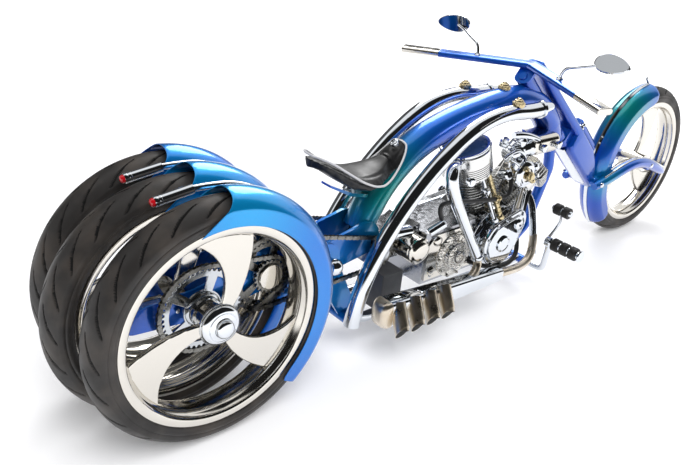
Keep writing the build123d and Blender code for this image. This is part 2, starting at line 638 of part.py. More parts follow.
bar = None
grips = None
for side in (LEFT, RIGHT):
    arm = plank(side, -0.02, GRIP_START)
    grip = plank(side, GRIP_START, 1)
    bar = arm if bar is None else bar + arm
    grips = grip if grips is None else grips + grip
save("fork_body", fork - bar)
save("handlebar", bar)
save("grips", grips)
shock = rod(steer(470, SHOCK_N), steer(640, SHOCK_N), 24) + rod(steer(452, SHOCK_N), steer(470, SHOCK_N), 17)
shock = shock + rod(steer(640, SHOCK_N), steer(668, SHOCK_N), 19)
save("shock", shock - fork)
links = cyl_y(FRONT_X, FRONT_R, AXLE_R, -LINK_Y[0], LINK_Y[0])
mirrors = None
link_face = lobes([(link_pivot[0], link_pivot[2], 30), (FRONT_X - 230, FRONT_R + 12, 28),
                   (FRONT_X - 95, FRONT_R + 22, 28), (FRONT_X + 40, FRONT_R - 4, 28),
                   (FRONT_X + 165, FRONT_R - 62, 18)])
fender_half = FRONT_HALF + FENDER_SIDE_GAP + FENDER_WALL
boss_x = FRONT_X - FENDER_SKIRT_R - 17
for side in (RIGHT, LEFT):
    foot = tuple(bar_point(side, MIRROR_AT))
    head = (STEER_X - 35, side * 345, STEER_Z + 132)
    stalk = rod(foot, head, 5)
    glass = Pos(*head) * Rot(0, -8, 0) * Rot(0, 90, 0) * extrude(Ellipse(32, 58), amount=6, both=True)
    mirrors = stalk + glass if mirrors is None else mirrors + stalk + glass
    y0, y1 = sorted((side * LINK_Y[0], side * LINK_Y[1]))
    boss = cyl_y(boss_x, FRONT_R + 3, 12, side * fender_half, side * LINK_Y[0])
    links = links + slab(link_face, y0, y1) + boss
save("front_links", links)
save("mirrors", mirrors - bar)
front_shell = fender(FRONT_R, FRONT_HALF, 96, 226)
front_shell = front_place * front_shell
save("front_fender", front_shell)
crown = FRONT_R + FENDER_CROWN
seat_r = crown + RUN_GAP
strip = [(seat_r, -8), (crown + 3, -8), (crown + 7, 0), (crown + 3, 8), (seat_r, 8)]
strip = revolve(Rot(0, -226, 0) * make_face(Polyline(*strip, close=True)), Axis.Y, revolution_arc=226 - 98)
foot, top = polar(crown + 6, 98.3), polar(crown + 32, 101.3)
foot, top = (foot[0], 0, foot[1]), (top[0], 0, top[1])
finial = rod(foot, top, 6, 4) + Pos(*top) * Sphere(7)
save("fender_trim", front_place * (strip + finial))
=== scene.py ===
"""Looks of the motorized trike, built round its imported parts. Lengths in the tables are millimetres."""
import json
import math

import bmesh
import bpy
import numpy as np
from mathutils import Matrix, Vector


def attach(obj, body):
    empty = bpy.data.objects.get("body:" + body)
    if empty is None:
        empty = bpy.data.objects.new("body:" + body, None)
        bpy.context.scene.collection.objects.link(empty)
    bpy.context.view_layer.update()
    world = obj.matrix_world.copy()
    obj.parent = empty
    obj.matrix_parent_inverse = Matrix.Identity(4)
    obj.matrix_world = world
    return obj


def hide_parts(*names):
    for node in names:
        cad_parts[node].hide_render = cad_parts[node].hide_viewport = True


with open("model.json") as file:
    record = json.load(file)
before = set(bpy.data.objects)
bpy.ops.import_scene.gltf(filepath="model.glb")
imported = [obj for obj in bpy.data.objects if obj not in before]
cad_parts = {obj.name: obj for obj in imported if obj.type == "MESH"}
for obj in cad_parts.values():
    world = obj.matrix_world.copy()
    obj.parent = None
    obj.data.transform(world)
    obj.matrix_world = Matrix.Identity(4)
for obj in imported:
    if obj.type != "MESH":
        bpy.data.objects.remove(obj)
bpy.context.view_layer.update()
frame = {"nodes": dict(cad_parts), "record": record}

scene = bpy.context.scene
MM = 0.001
# The drawing measures x from the axle of the outer rear wheels; the frame's origin is at mid length.
AXLE_TO_MIDDLE = 1151.5
REAR_R, FRONT_R, TRACK, SETBACK, WHEELBASE = 350.0, 347.0, 162.0, 34.0, 2340.0
REAR_HALF, FRONT_HALF = 54, 50
RAKE = math.radians(49.4)
STEER_X, STEER_Z = 1360.0, 818.0
CRANK_X, CRANK_Z, REAR_LEAN, FRONT_LEAN = 1215, 255, -20, 50
JACK_X, JACK_Z, CHAIN_PITCH = 212, 388, 15.875
GEAR_X, GEAR_Z = 1000, 248
CHAMBER_Y, CHAMBER_Z = -190, 190


def at(x, y, z):
    """Point of the drawing, in the frame's metres."""
    return Vector(((x - AXLE_TO_MIDDLE) * MM, y * MM, z * MM))


def steer(s, n, y=0.0):
    """Point of the drawing given along the steering axis (s, downwards), ahead of it (n) and across (y)."""
    return (STEER_X + s * math.sin(RAKE) + n * math.cos(RAKE), y,
            STEER_Z - s * math.cos(RAKE) + n * math.sin(RAKE))


def polar(r, angle):
    """Point at a radius and an angle in degrees."""
    return (r * math.cos(math.radians(angle)), r * math.sin(math.radians(angle)))


# Finishes

def srgb(code):
    """Linear colour from an sRGB hex value."""
    parts = [int(code[i:i + 2], 16) / 255 for i in (1, 3, 5)]
    return [c / 12.92 if c <= 0.04045 else ((c + 0.055) / 1.055) ** 2.4 for c in parts] + [1.0]


def add(tree, kind, inputs=None, **settings):
    """One shader node with its settings; each input is a value or another node's output."""
    node = tree.nodes.new(kind)
    for name, value in settings.items():
        setattr(node, name, value)
    for name, value in (inputs or {}).items():
        if isinstance(value, bpy.types.NodeSocket):
            tree.links.new(value, node.inputs[name])
        else:
            node.inputs[name].default_value = value
    return node


def finish(name, colour, metallic, roughness, **sockets):
    """Material with one shader; returns the material, its tree, the shader and the piece's own coordinates."""
    made = bpy.data.materials.new(name)
    made.use_nodes = True
    tree = made.node_tree
    tree.nodes.clear()
    values = {"Base Color": srgb(colour), "Metallic": metallic, "Roughness": roughness}
    values.update({k.replace("_", " "): v for k, v in sockets.items()})
    shader = add(tree, "ShaderNodeBsdfPrincipled", values)
    add(tree, "ShaderNodeOutputMaterial", {"Surface": shader.outputs[0]})
    place = add(tree, "ShaderNodeTexCoord").outputs["Object"]
    return made, tree, shader, place


def smudged(tree, shader, place, low, high, size_mm):
    """Roughness that wanders between two values in patches of a given size, as handling leaves it."""
    patch = add(tree, "ShaderNodeTexNoise", {"Vector": place, "Scale": 1000 / size_mm, "Detail": 4.0})
    spread = add(tree, "ShaderNodeMapRange", {"Value": patch.outputs[0], "From Min": 0.35, "From Max": 0.65,
                                              "To Min": low, "To Max": high})
    tree.links.new(spread.outputs[0], shader.inputs["Roughness"])


def grained(tree, shader, height, strength, depth_mm):
    """Bump from a height output, as deep as the real grain."""
    bump = add(tree, "ShaderNodeBump", {"Height": height, "Strength": strength, "Distance": depth_mm * MM})
    tree.links.new(bump.outputs[0], shader.inputs["Normal"])


def pearl_lacquer():
    """Sprayed pearl lacquer under polished clear coat, with painted light and shade: the blue is painted lighter on
    faces turned up and deeper on faces turned down, where light and shade fall. Cyan fades on the rear fenders are
    pearl tone, and at their crowns also a painted highlight; teal ones at the seat, front fender and lower frame are
    pearl tone."""
    made, tree, shader, place = finish("pearl_lacquer_and_painted_light", "#1a4ec4", 0.7, 0.3, Coat_Weight=1.0,
                                       Coat_Roughness=0.02)
    # Painted light and shade: the blue follows how far each face turns up, lighter on top and deeper underneath.
    normal = add(tree, "ShaderNodeTexCoord").outputs["Normal"]
    upward = add(tree, "ShaderNodeSeparateXYZ", {"Vector": normal}).outputs["Z"]
    lift = add(tree, "ShaderNodeMapRange", {"Value": upward, "From Min": -0.7, "From Max": 1.0})
    painted_light_ramp = add(tree, "ShaderNodeValToRGB", {"Fac": lift.outputs[0]})
    stops = painted_light_ramp.color_ramp.elements
    stops[0].color, stops[1].color = srgb("#0a3ea2"), srgb("#0c6ad2")
    for share, code in ((0.38, "#0b4eb6"), (0.72, "#0c5cc6")):
        stops.new(share).color = srgb(code)
    colour = painted_light_ramp.outputs[0]
    # Columns: middle of the sprayed fade, its reach, colour, share. The fades are pearl tone; the cyan ones at the rear
    # fender crowns also stand in for a painted highlight of the lamps.
    for middle, reach, code, share in (((700, 0, 520), 270, "#00947e", 0.95), ((2100, -30, 660), 250, "#009a86", 0.9),
                                       ((230, -200, 330), 430, "#0a84da", 0.9), ((60, -190, 690), 330, "#009cdc", 0.95),
                                       ((60, 20, 720), 260, "#0096e0", 0.9), ((480, -70, 250), 240, "#0092c4", 0.6),
                                       ((2010, -80, 320), 140, "#0098b0", 0.7)):
        off = add(tree, "ShaderNodeVectorMath", {0: place, 1: at(*middle)}, operation="DISTANCE")
        fade = add(tree, "ShaderNodeMapRange", {"Value": off.outputs["Value"], "From Min": 0.0, "From Max": reach * MM,
                                                "To Min": share, "To Max": 0.0}, interpolation_type="SMOOTHSTEP")
        mixed = add(tree, "ShaderNodeMix", {"Factor": fade.outputs[0], 6: colour, 7: srgb(code)}, data_type="RGBA")
        colour = mixed.outputs[2]
    # Pearl flakes are about 0.05 mm; their sparkle is a painted glint, drawn at 1.2 mm as lighter and darker spots of
    # the base colour so that it shows as a faint sparkle.
    flake = add(tree, "ShaderNodeTexNoise", {"Vector": place, "Scale": 1000 / 1.2, "Detail": 1.0})
    painted_glint = add(tree, "ShaderNodeMapRange", {"Value": flake.outputs[0], "From Min": 0.3, "From Max": 0.8,
                                             "To Min": 0.9, "To Max": 1.15})
    lit = add(tree, "ShaderNodeVectorMath", {0: colour, "Scale": painted_glint.outputs[0]}, operation="SCALE")
    tree.links.new(lit.outputs[0], shader.inputs["Base Color"])
    return made


def cast_aluminium():
    """Aluminium castings, bead blasted and buffed: pale metal with the casting's fine pebble left in its hollows."""
    made, tree, shader, place = finish("cast_aluminium_buffed", "#dddddb", 1.0, 0.24)
    pebble = add(tree, "ShaderNodeTexNoise", {"Vector": place, "Scale": 1000 / 3.0, "Detail": 5.0})
    grained(tree, shader, pebble.outputs[0], 0.08, 0.2)
    smudged(tree, shader, place, 0.14, 0.3, 20)
    return made


def carved_cover():
    """Chromed cover with hand-cut scrollwork: cuts about 9 mm apart that break the mirror into sparkle."""
    made, tree, shader, place = finish("engraved_chrome", "#e2dfd8", 1.0, 0.14)
    cells = add(tree, "ShaderNodeTexVoronoi", {"Vector": place, "Scale": 1000 / 9.0}, feature="SMOOTH_F1")
    scroll = add(tree, "ShaderNodeTexWave", {"Vector": place, "Scale": 1000 / 24.0, "Distortion": 9.0, "Detail": 2.0},
                 wave_type="RINGS")
    both = add(tree, "ShaderNodeMath", {0: cells.outputs[0], 1: scroll.outputs[1]}, operation="MULTIPLY")
    grained(tree, shader, both.outputs[0], 0.9, 2.2)
    return made


def tinted_stainless():
    """Stainless exhaust tube, brushed and lightly coloured by heat: pale grey with a straw tint in the low bends."""
    made, tree, shader, place = finish("heat_tinted_stainless", "#b8925a", 1.0, 0.16)
    height = add(tree, "ShaderNodeSeparateXYZ", {"Vector": place}).outputs["Z"]
    drift = add(tree, "ShaderNodeTexNoise", {"Vector": place, "Scale": 1000 / 120, "Detail": 2.0})
    both = add(tree, "ShaderNodeMath", {0: drift.outputs[0], 1: 0.16, 2: height}, operation="MULTIPLY_ADD")
    ramp = add(tree, "ShaderNodeValToRGB", {"Fac": both.outputs[0]})
    stops = ramp.color_ramp.elements
    stops[0].position, stops[0].color = 0.2, srgb("#e0d8cc")
    stops[1].position, stops[1].color = 0.62, srgb("#e2e0dc")
    for share, code in ((0.28, "#dccfba"), (0.38, "#e2d8c8")):
        stops.new(share).color = srgb(code)
    tree.links.new(ramp.outputs[0], shader.inputs["Base Color"])
    smudged(tree, shader, place, 0.24, 0.4, 40)
    return made


def tyre_rubber():
    """Moulded tyre rubber: near black and satin, with a brown road bloom in broad patches."""
    made, tree, shader, place = finish("tyre_rubber_moulded", "#232325", 0.0, 0.5, Specular_IOR_Level=0.45)
    grit = add(tree, "ShaderNodeTexNoise", {"Vector": place, "Scale": 1000 / 2.5, "Detail": 3.0})
    grained(tree, shader, grit.outputs[0], 0.12, 0.3)
    bloom = add(tree, "ShaderNodeTexNoise", {"Vector": place, "Scale": 1000 / 90, "Detail": 5.0})
    tone = add(tree, "ShaderNodeMapRange", {"Value": bloom.outputs[0], "From Min": 0.45, "From Max": 0.75})
    dusty = add(tree, "ShaderNodeMix", {"Factor": tone.outputs[0], 6: srgb("#242221"), 7: srgb("#3d3732")},
                data_type="RGBA")
    tree.links.new(dusty.outputs[2], shader.inputs["Base Color"])
    smudged(tree, shader, place, 0.4, 0.6, 70)
    return made


def hide_leather():
    """Smooth black hide, dyed and waxed: soft sheen, pores about 2 mm apart and broad hand-worn patches."""
    made, tree, shader, place = finish("black_hide_waxed", "#131314", 0.0, 0.4, Specular_IOR_Level=0.5)
    pores = add(tree, "ShaderNodeTexVoronoi", {"Vector": place, "Scale": 1000 / 2.2}, feature="F1")
    creases = add(tree, "ShaderNodeTexNoise", {"Vector": place, "Scale": 1000 / 14, "Detail": 3.0})
    both = add(tree, "ShaderNodeMath", {0: pores.outputs[0], 1: creases.outputs[0]}, operation="ADD")
    grained(tree, shader, both.outputs[0], 0.22, 0.35)
    smudged(tree, shader, place, 0.3, 0.5, 50)
    return made


def plain_metal(name, colour, low, high, patch_mm):
    """A metal of one colour whose polish varies in patches."""
    made, tree, shader, place = finish(name, colour, 1.0, (low + high) / 2)
    smudged(tree, shader, place, low, high, patch_mm)
    return made


def plain_moulding(name, colour, low, high, patch_mm, **sockets):
    """A plastic, rubber or paint of one colour with a fine texture."""
    made, tree, shader, place = finish(name, colour, 0.0, (low + high) / 2, **sockets)
    skin = add(tree, "ShaderNodeTexNoise", {"Vector": place, "Scale": 1000 / 1.6, "Detail": 2.0})
    grained(tree, shader, skin.outputs[0], 0.1, 0.2)
    smudged(tree, shader, place, low, high, patch_mm)
    return made


PAINT = pearl_lacquer()
CAST = cast_aluminium()
CARVED = carved_cover()
TINTED = tinted_stainless()
RUBBER = tyre_rubber()
HIDE = hide_leather()
# Chrome plate over polished steel: a cool mirror with faint wiping marks.
CHROME = plain_metal("chrome_plate_polished", "#dfe3e8", 0.03, 0.09, 45)
# Billet aluminium, turned and mirror polished: paler and warmer than chrome, with a soft polishing haze.
BILLET = plain_metal("billet_aluminium_polished", "#dcd8d0", 0.07, 0.17, 60)
# Painted shade in the tread grooves: the same rubber, painted near black where shade falls in the recesses.
GROOVE_SHADE = plain_moulding("tyre_groove_painted_shade", "#0c0c0c", 0.7, 0.85, 20)
# Antiqued brass: a pale gold metal, dull in its hollows.
BRASS = plain_metal("brass_antiqued", "#d6c59c", 0.16, 0.34, 8)
# Hardened chain steel, oiled: dark grey with bright worn sides.
CHAIN = plain_metal("chain_steel_oiled", "#8b8a86", 0.22, 0.42, 12)
# Ground steel sprockets, nickel plated: a cool grey mirror with a grinding haze.
NICKEL = plain_metal("nickel_plate_ground", "#c5c9cd", 0.1, 0.2, 25)
# Black oxide on a push-rod tube: a dark metal with a little shine.
OXIDE = plain_metal("black_oxide_steel", "#2c2d30", 0.3, 0.45, 15)
# Ribbed rubber sleeves on the pegs and pedal: soft black.
SLEEVE = plain_moulding("peg_rubber_ribbed", "#1c1b1a", 0.5, 0.65, 20)
# Pale vinyl piping round the seat: light grey with a soft shine.
PIPING = plain_moulding("vinyl_piping", "#b9b9bb", 0.35, 0.45, 15)
# Silvered mirror glass: a dark, clean mirror.
GLASS = plain_metal("mirror_glass_silvered", "#aeb2b6", 0.01, 0.03, 40)
# Turned nickel of the heads, satin polished: a pale, soft mirror.
SATIN = plain_metal("nickel_turned_satin", "#e4e4e2", 0.14, 0.26, 30)
# Gearbox case, cast and hand polished: a grey ground behind the brighter covers.
CASE = plain_metal("gearbox_case_polished", "#a9abb0", 0.1, 0.22, 18)
# Slate-blue lacquer on the drum's lid: a dark blue sheet with a clear shine.
LID = plain_moulding("slate_lacquer_flat", "#2c4368", 0.22, 0.3, 40)
# Wrinkle-painted steel oil pipes: soft black.
WRINKLE = plain_moulding("black_wrinkle_paint", "#161617", 0.35, 0.5, 12)
# Painted shade inside the tail pipes: dull black, closing each mouth where the open pipe would be dark.
PIPE_SHADE = plain_moulding("pipe_mouth_painted_shade", "#0b0b0b", 0.7, 0.9, 10)
# Moulded case of the battery: dark grey, fine grain.
GREY = plain_moulding("grey_abs_moulded", "#3c3d40", 0.35, 0.5, 30)
# Clear red acrylic of the tail lamps: deep red, polished.
LENS = plain_moulding("red_acrylic_polished", "#a80f18", 0.06, 0.12, 10, Coat_Weight=1.0)

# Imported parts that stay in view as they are
for made, names in ((PAINT, ("frame_backbone", "frame_downtube")),
                    (CHROME, ("side_tube_right", "side_tube_left", "middle_axle", "swingarm_pivot", "frame_rails",
                              "fender_trim", "dampers"))):
    for name in names:
        for held in frame["nodes"][name].material_slots:
            held.material = made


# Mesh tools

def face_outward(mesh):
    """Turn every face of a mesh to look outward."""
    work = bmesh.new()
    work.from_mesh(mesh)
    bmesh.ops.recalc_face_normals(work, faces=work.faces)
    work.to_mesh(mesh)
    work.free()


def dress(name, mesh, made, body, stands_for, sharp):
    """Finish a mesh: normals, shading, material and body."""
    face_outward(mesh)
    mesh.polygons.foreach_set("use_smooth", [True] * len(mesh.polygons))
    mesh.set_sharp_from_angle(angle=math.radians(sharp))
    mesh.materials.clear()
    mesh.materials.append(made)
    made_object = bpy.data.objects.new(name, mesh)
    scene.collection.objects.link(made_object)
    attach(made_object, body)
    if stands_for:
        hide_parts(*stands_for)
    return made_object


def joined(*parts):
    """One list of points and faces from several."""
    verts, faces = [], []
    for part_verts, part_faces in parts:
        start = len(verts)
        verts.extend(part_verts)
        faces.extend([tuple(i + start for i in f) for f in part_faces])
    return verts, faces


def piece(name, made, *parts, body="chassis", stands_for=(), sharp=35.0):
    """Mesh object from parts, with smooth shading and crisp edges, riding on a body of the machine."""
    verts, faces = joined(*parts)
    mesh = bpy.data.meshes.new(name)
    mesh.from_pydata([tuple(v) for v in verts], [], faces)
    return dress(name, mesh, made, body, stands_for, sharp)


def mirrored(part):
    """The same points and faces on the other side of the machine."""
    return [Vector((v[0], -v[1], v[2])) for v in part[0]], [tuple(reversed(f)) for f in part[1]]


def axis_matrix(origin, direction):
    """Matrix that puts local Z along a direction at an origin, both in metres."""
    return Matrix.Translation(origin) @ Vector(direction).to_track_quat("Z", "Y").to_matrix().to_4x4()


def crosswise(x, y, z):
    """Matrix at a drawing point whose Z runs towards the machine's right side."""
    return axis_matrix(at(x, y, z), (0, -1, 0))


def turned(profile, matrix, count=64):
    """Round form from (radius, height) in millimetres about the matrix's Z; a radius of 0 closes an end."""
    verts, faces, rings = [], [], []
    for r, h in profile:
        start = len(verts)
        if r == 0:
            verts.append(matrix @ Vector((0, 0, h * MM)))
            rings.append([start] * count)
            continue
        for i in range(count):
            a = 2 * math.pi * i / count
            verts.append(matrix @ Vector((r * MM * math.cos(a), r * MM * math.sin(a), h * MM)))
        rings.append(list(range(start, start + count)))
    for low, high in zip(rings, rings[1:]):
        for i in range(count):
            j = (i + 1) % count
            corner = [low[i], low[j], high[j], high[i]]
            kept = [c for k, c in enumerate(corner) if c not in corner[:k]]
            if len(kept) > 2:
                faces.append(kept)
    return verts, faces


def from_curve(drawn, matrix):
    """Points and faces of a drawn curve, moved by a matrix; the curve is cleared away."""
    holder = bpy.data.objects.new("drawn", drawn)
    mesh = bpy.data.meshes.new_from_object(holder)
    made = [matrix @ v.co for v in mesh.vertices], [tuple(p.vertices) for p in mesh.polygons]
    bpy.data.objects.remove(holder)
    bpy.data.meshes.remove(mesh)
    bpy.data.curves.remove(drawn)
    return made


def plate(outline, holes, low, high, bevel, matrix=None):
    """Flat plate from an outline and holes in x and z (millimetres), between two values of y, with rounded edges."""
    drawn = bpy.data.curves.new("plate", "CURVE")
    drawn.dimensions, drawn.fill_mode = "2D", "BOTH"
    for loop in [outline, *holes]:
        spline = drawn.splines.new("POLY")
        spline.points.add(len(loop) - 1)
        spline.use_cyclic_u = True
        for point, (x, z) in zip(spline.points, loop):
            point.co = (x * MM, z * MM, 0, 1)
    drawn.bevel_depth, drawn.offset, drawn.bevel_resolution = bevel * MM, -bevel * MM, 2
    drawn.extrude = max((high - low) / 2 - bevel, 0.01) * MM
    turn = Matrix.Translation((0, (low + high) / 2 * MM, 0)) @ Matrix.Rotation(math.pi / 2, 4, "X")
    return from_curve(drawn, (matrix or Matrix.Translation(at(0, 0, 0))) @ turn)


def tube(points, radius, order=4, count=10):
    """Smooth round tube along drawing points; radius is one number or one for each point."""
    radii = radius if isinstance(radius, list) else [radius] * len(points)
    drawn = bpy.data.curves.new("tube", "CURVE")
    drawn.dimensions, drawn.resolution_u = "3D", 10
    spline = drawn.splines.new("NURBS")
    spline.points.add(len(points) - 1)
    for point, place, r in zip(spline.points, points, radii):
        point.co = (*at(*place), 1)
        point.radius = r
    spline.order_u = min(order, len(points))
    spline.use_endpoint_u = True
    drawn.bevel_depth, drawn.bevel_resolution, drawn.use_fill_caps = MM, count, True
    return from_curve(drawn, Matrix.Identity(4))


def lofted(sections, closed=True):
    """Skin over rings of points, with flat ends if closed."""
    count = len(sections[0])
    verts = [v for ring in sections for v in ring]
    faces = []
    for k in range(len(sections) - 1):
        for i in range(count):
            j = (i + 1) % count
            faces.append((k * count + i, k * count + j, (k + 1) * count + j, (k + 1) * count + i))
    if closed:
        faces.append(tuple(range(count)))
        faces.append(tuple(range((len(sections) - 1) * count, len(sections) * count)))
    return verts, faces


def ring_points(x, z, r, count=32):
    """Points round a circle."""
    return [(x + r * math.cos(2 * math.pi * i / count), z + r * math.sin(2 * math.pi * i / count))
            for i in range(count)]


def prism(outline, low, high):
    """Straight-sided plate from points in x and z, between two values of y."""
    count = len(outline)
    verts = [at(x, y, z) for y in (low, high) for x, z in outline]
    faces = [tuple(range(count)), tuple(range(count, 2 * count))]
    faces += [(i, (i + 1) % count, (i + 1) % count + count, i + count) for i in range(count)]
    return verts, faces


def rounded_ring(low, high, half, corner, place):
    """Ring of a rounded rectangle: n from low to high, y within half; place turns (n, y) into a point."""
    ring = []
    corner = min(corner, (high - low) / 2 - 0.5, half - 0.5)
    for n0, y0, start in ((high - corner, half - corner, 0), (low + corner, half - corner, 90),
                          (low + corner, corner - half, 180), (high - corner, corner - half, 270)):
        for i in range(7):
            n, y = polar(corner, start + 15 * i)
            ring.append(place(n0 + n, y0 + y))
    return ring


def cap_screw(r, matrix):
    """Socket-head screw standing on the matrix's origin: round head with a dished socket."""
    return turned([(r, 0), (r, r * 1.0), (r * 0.86, r * 1.2), (r * 0.55, r * 1.2), (r * 0.5, r * 0.7), (0, r * 0.66)],
                  matrix, 12)


def smooth(low, high, value):
    """Soft step from 0 to 1 between two values."""
    t = np.clip((value - low) / (high - low), 0, 1)
    return t * t * (3 - 2 * t)


NODE_BODY = {node: body for body, nodes in frame["record"]["behaviour"]["bodies"].items() for node in nodes}


def edged(node, width, made):
    """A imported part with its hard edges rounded, as filing and polishing leave them."""
    source = frame["nodes"][node]
    mesh = source.data.copy()
    mesh.transform(source.matrix_world)
    work = bmesh.new()
    work.from_mesh(mesh)
    bmesh.ops.remove_doubles(work, verts=work.verts, dist=0.02 * MM)
    bmesh.ops.dissolve_limit(work, angle_limit=math.radians(1.0), verts=work.verts, edges=work.edges)
    work.to_mesh(mesh)
    work.free()
    made_object = dress(f"{node}_edged", mesh, made, NODE_BODY[node], (node,), 32)
    edge = made_object.modifiers.new("filed_edge", "BEVEL")
    edge.width, edge.segments, edge.limit_method = width * MM, 2, "ANGLE"
    edge.angle_limit, edge.harden_normals = math.radians(32), True


# Camera and studio

def photograph_camera():
    """The solved camera: 37.2 mm lens behind the right rear wheel, looking down and forward, tilted a little."""
    yaw, pitch, roll = 0.825, 0.451, -0.103
    focal_px, photo_width_px, sensor_mm = 722.746, 700, 36.0
    ahead = Vector((math.cos(yaw) * math.cos(pitch), math.sin(yaw) * math.cos(pitch), -math.sin(pitch)))
    right = Vector((math.sin(yaw), -math.cos(yaw), 0))
    down = ahead.cross(right)
    side = math.cos(roll) * right + math.sin(roll) * down
    below = math.cos(roll) * down - math.sin(roll) * right
    lens = bpy.data.cameras.new("camera")
    lens.sensor_width, lens.lens, lens.clip_end = sensor_mm, focal_px / photo_width_px * sensor_mm, 100
    camera = bpy.data.objects.new("camera", lens)
    turn = Matrix((side, -below, -ahead)).transposed().to_4x4()
    camera.matrix_world = Matrix.Translation(at(-823.552, -1527.484, 1396.564)) @ turn
    scene.collection.objects.link(camera)
    scene.camera = camera


def studio():
    """Pale floor, white surround, two soft lamps, and dark cloths that only polished surfaces see."""
    world = bpy.data.worlds.new("white_studio")
    scene.world = world
    world.use_nodes = True
    tree = world.node_tree
    tree.nodes.clear()
    ray = add(tree, "ShaderNodeLightPath")
    seen = add(tree, "ShaderNodeMath", {0: ray.outputs["Is Camera Ray"], 1: ray.outputs["Is Glossy Ray"]},
               operation="MAXIMUM")
    seen = add(tree, "ShaderNodeMath", {0: seen.outputs[0], 1: ray.outputs["Is Transmission Ray"]}, operation="MAXIMUM")
    level = add(tree, "ShaderNodeMapRange", {"Value": seen.outputs[0], "To Min": 0.55, "To Max": 1.0})
    back = add(tree, "ShaderNodeBackground", {"Color": srgb("#ffffff"), "Strength": level.outputs[0]})
    add(tree, "ShaderNodeOutputWorld", {"Surface": back.outputs[0]})

    # The floor glows more the further off it is, so that it meets the white surround without an edge.
    floor_paint, tree, shader, place = finish("studio_floor_painted", "#f3f3f5", 0.0, 0.6, Specular_IOR_Level=0.2)
    shader.inputs["Emission Color"].default_value = srgb("#ffffff")
    far = add(tree, "ShaderNodeVectorMath", {0: place}, operation="LENGTH").outputs["Value"]
    glow = add(tree, "ShaderNodeMapRange", {"Value": far, "From Min": 1.2, "From Max": 4.5, "To Min": 0.12,
                                            "To Max": 0.62}, interpolation_type="SMOOTHSTEP")
    tree.links.new(glow.outputs[0], shader.inputs["Emission Strength"])
    reach = 14.0
    mesh = bpy.data.meshes.new("floor")
    mesh.from_pydata([(-reach, -reach, 0), (reach, -reach, 0), (reach, reach, 0), (-reach, reach, 0)], [],
                     [(0, 1, 2, 3)])
    mesh.materials.append(floor_paint)
    floor = bpy.data.objects.new("floor", mesh)
    floor.location.z = -0.0005
    scene.collection.objects.link(floor)

    board = bpy.data.materials.new("dark_studio_cloth")
    board.use_nodes = True
    tree = board.node_tree
    tree.nodes.clear()
    ray = add(tree, "ShaderNodeVectorMath", {0: add(tree, "ShaderNodeTexCoord").outputs["Object"]},
              operation="NORMALIZE").outputs[0]
    rise = add(tree, "ShaderNodeSeparateXYZ", {"Vector": ray}).outputs["Z"]
    # Columns: what is measured, where the change starts and ends, value before and after it. The first two are the
    # lower and upper hems of the cloths, the others a wide cloth behind the camera and a narrower one across from it.
    edges = [(rise, 0.03, 0.1, 0.0, 1.0), (rise, 0.94, 0.985, 1.0, 0.0)]
    for heading, edge, share in ((252, 0.02, 1.0), (95, 0.45, 0.92)):
        side = add(tree, "ShaderNodeVectorMath", {0: ray, 1: (*polar(1, heading), 0)}, operation="DOT_PRODUCT")
        edges.append((side.outputs["Value"], edge, edge + 0.12, 0.0, share))
    shades = [add(tree, "ShaderNodeMapRange", {"Value": value, "From Min": low, "From Max": high, "To Min": first,
                                               "To Max": last}, interpolation_type="SMOOTHSTEP").outputs[0]
              for value, low, high, first, last in edges]
    band = add(tree, "ShaderNodeMath", {0: shades[0], 1: shades[1]}, operation="MULTIPLY")
    cloth = add(tree, "ShaderNodeMath", {0: shades[2], 1: shades[3]}, operation="MAXIMUM")
    dark = add(tree, "ShaderNodeMath", {0: cloth.outputs[0], 1: band.outputs[0]}, operation="MULTIPLY")
    tone = add(tree, "ShaderNodeMapRange", {"Value": dark.outputs[0], "To Min": 1.0, "To Max": 0.015})
    glow = add(tree, "ShaderNodeEmission", {"Color": srgb("#ffffff"), "Strength": tone.outputs[0]})
    add(tree, "ShaderNodeOutputMaterial", {"Surface": glow.outputs[0]})
    radius = 8
    rings = [[(radius * math.cos(e) * math.cos(a), radius * math.cos(e) * math.sin(a), radius * math.sin(e))
              for a in (2 * math.pi * i / 48 for i in range(48))]
             for e in (math.radians(86 * k / 12) for k in range(13))]
    verts, faces = lofted(rings, False)
    mesh = bpy.data.meshes.new("studio_cloths")
    mesh.from_pydata(verts, [], faces)
    mesh.materials.append(board)
    boards = bpy.data.objects.new("studio_cloths", mesh)
    scene.collection.objects.link(boards)
    for ray_kind in ("visible_camera", "visible_diffuse", "visible_shadow", "visible_transmission"):
        setattr(boards, ray_kind, False)

    # Columns: lamp, place, what it looks at, side of the soft box, watts, whether polished surfaces mirror it
    for name, place, aim, size, watts, mirrored_too in (
            ("key_lamp", (-1.6, -2.6, 4.2), (0, 0, 0.3), 3.0, 190, False),
            ("fill_lamp", (2.4, 2.4, 3.8), (0.2, 0, 0.4), 3.0, 150, True)):
        light = bpy.data.lights.new(name, "AREA")
        light.size, light.energy = size, watts
        lamp = bpy.data.objects.new(name, light)
        lamp.location = place
        lamp.rotation_mode = "QUATERNION"
        lamp.rotation_quaternion = (Vector(aim) - Vector(place)).to_track_quat("-Z", "Y")
        lamp.visible_glossy = mirrored_too
        scene.collection.objects.link(lamp)
    scene.view_settings.view_transform = "Standard"


photograph_camera()
studio()


# Wheels

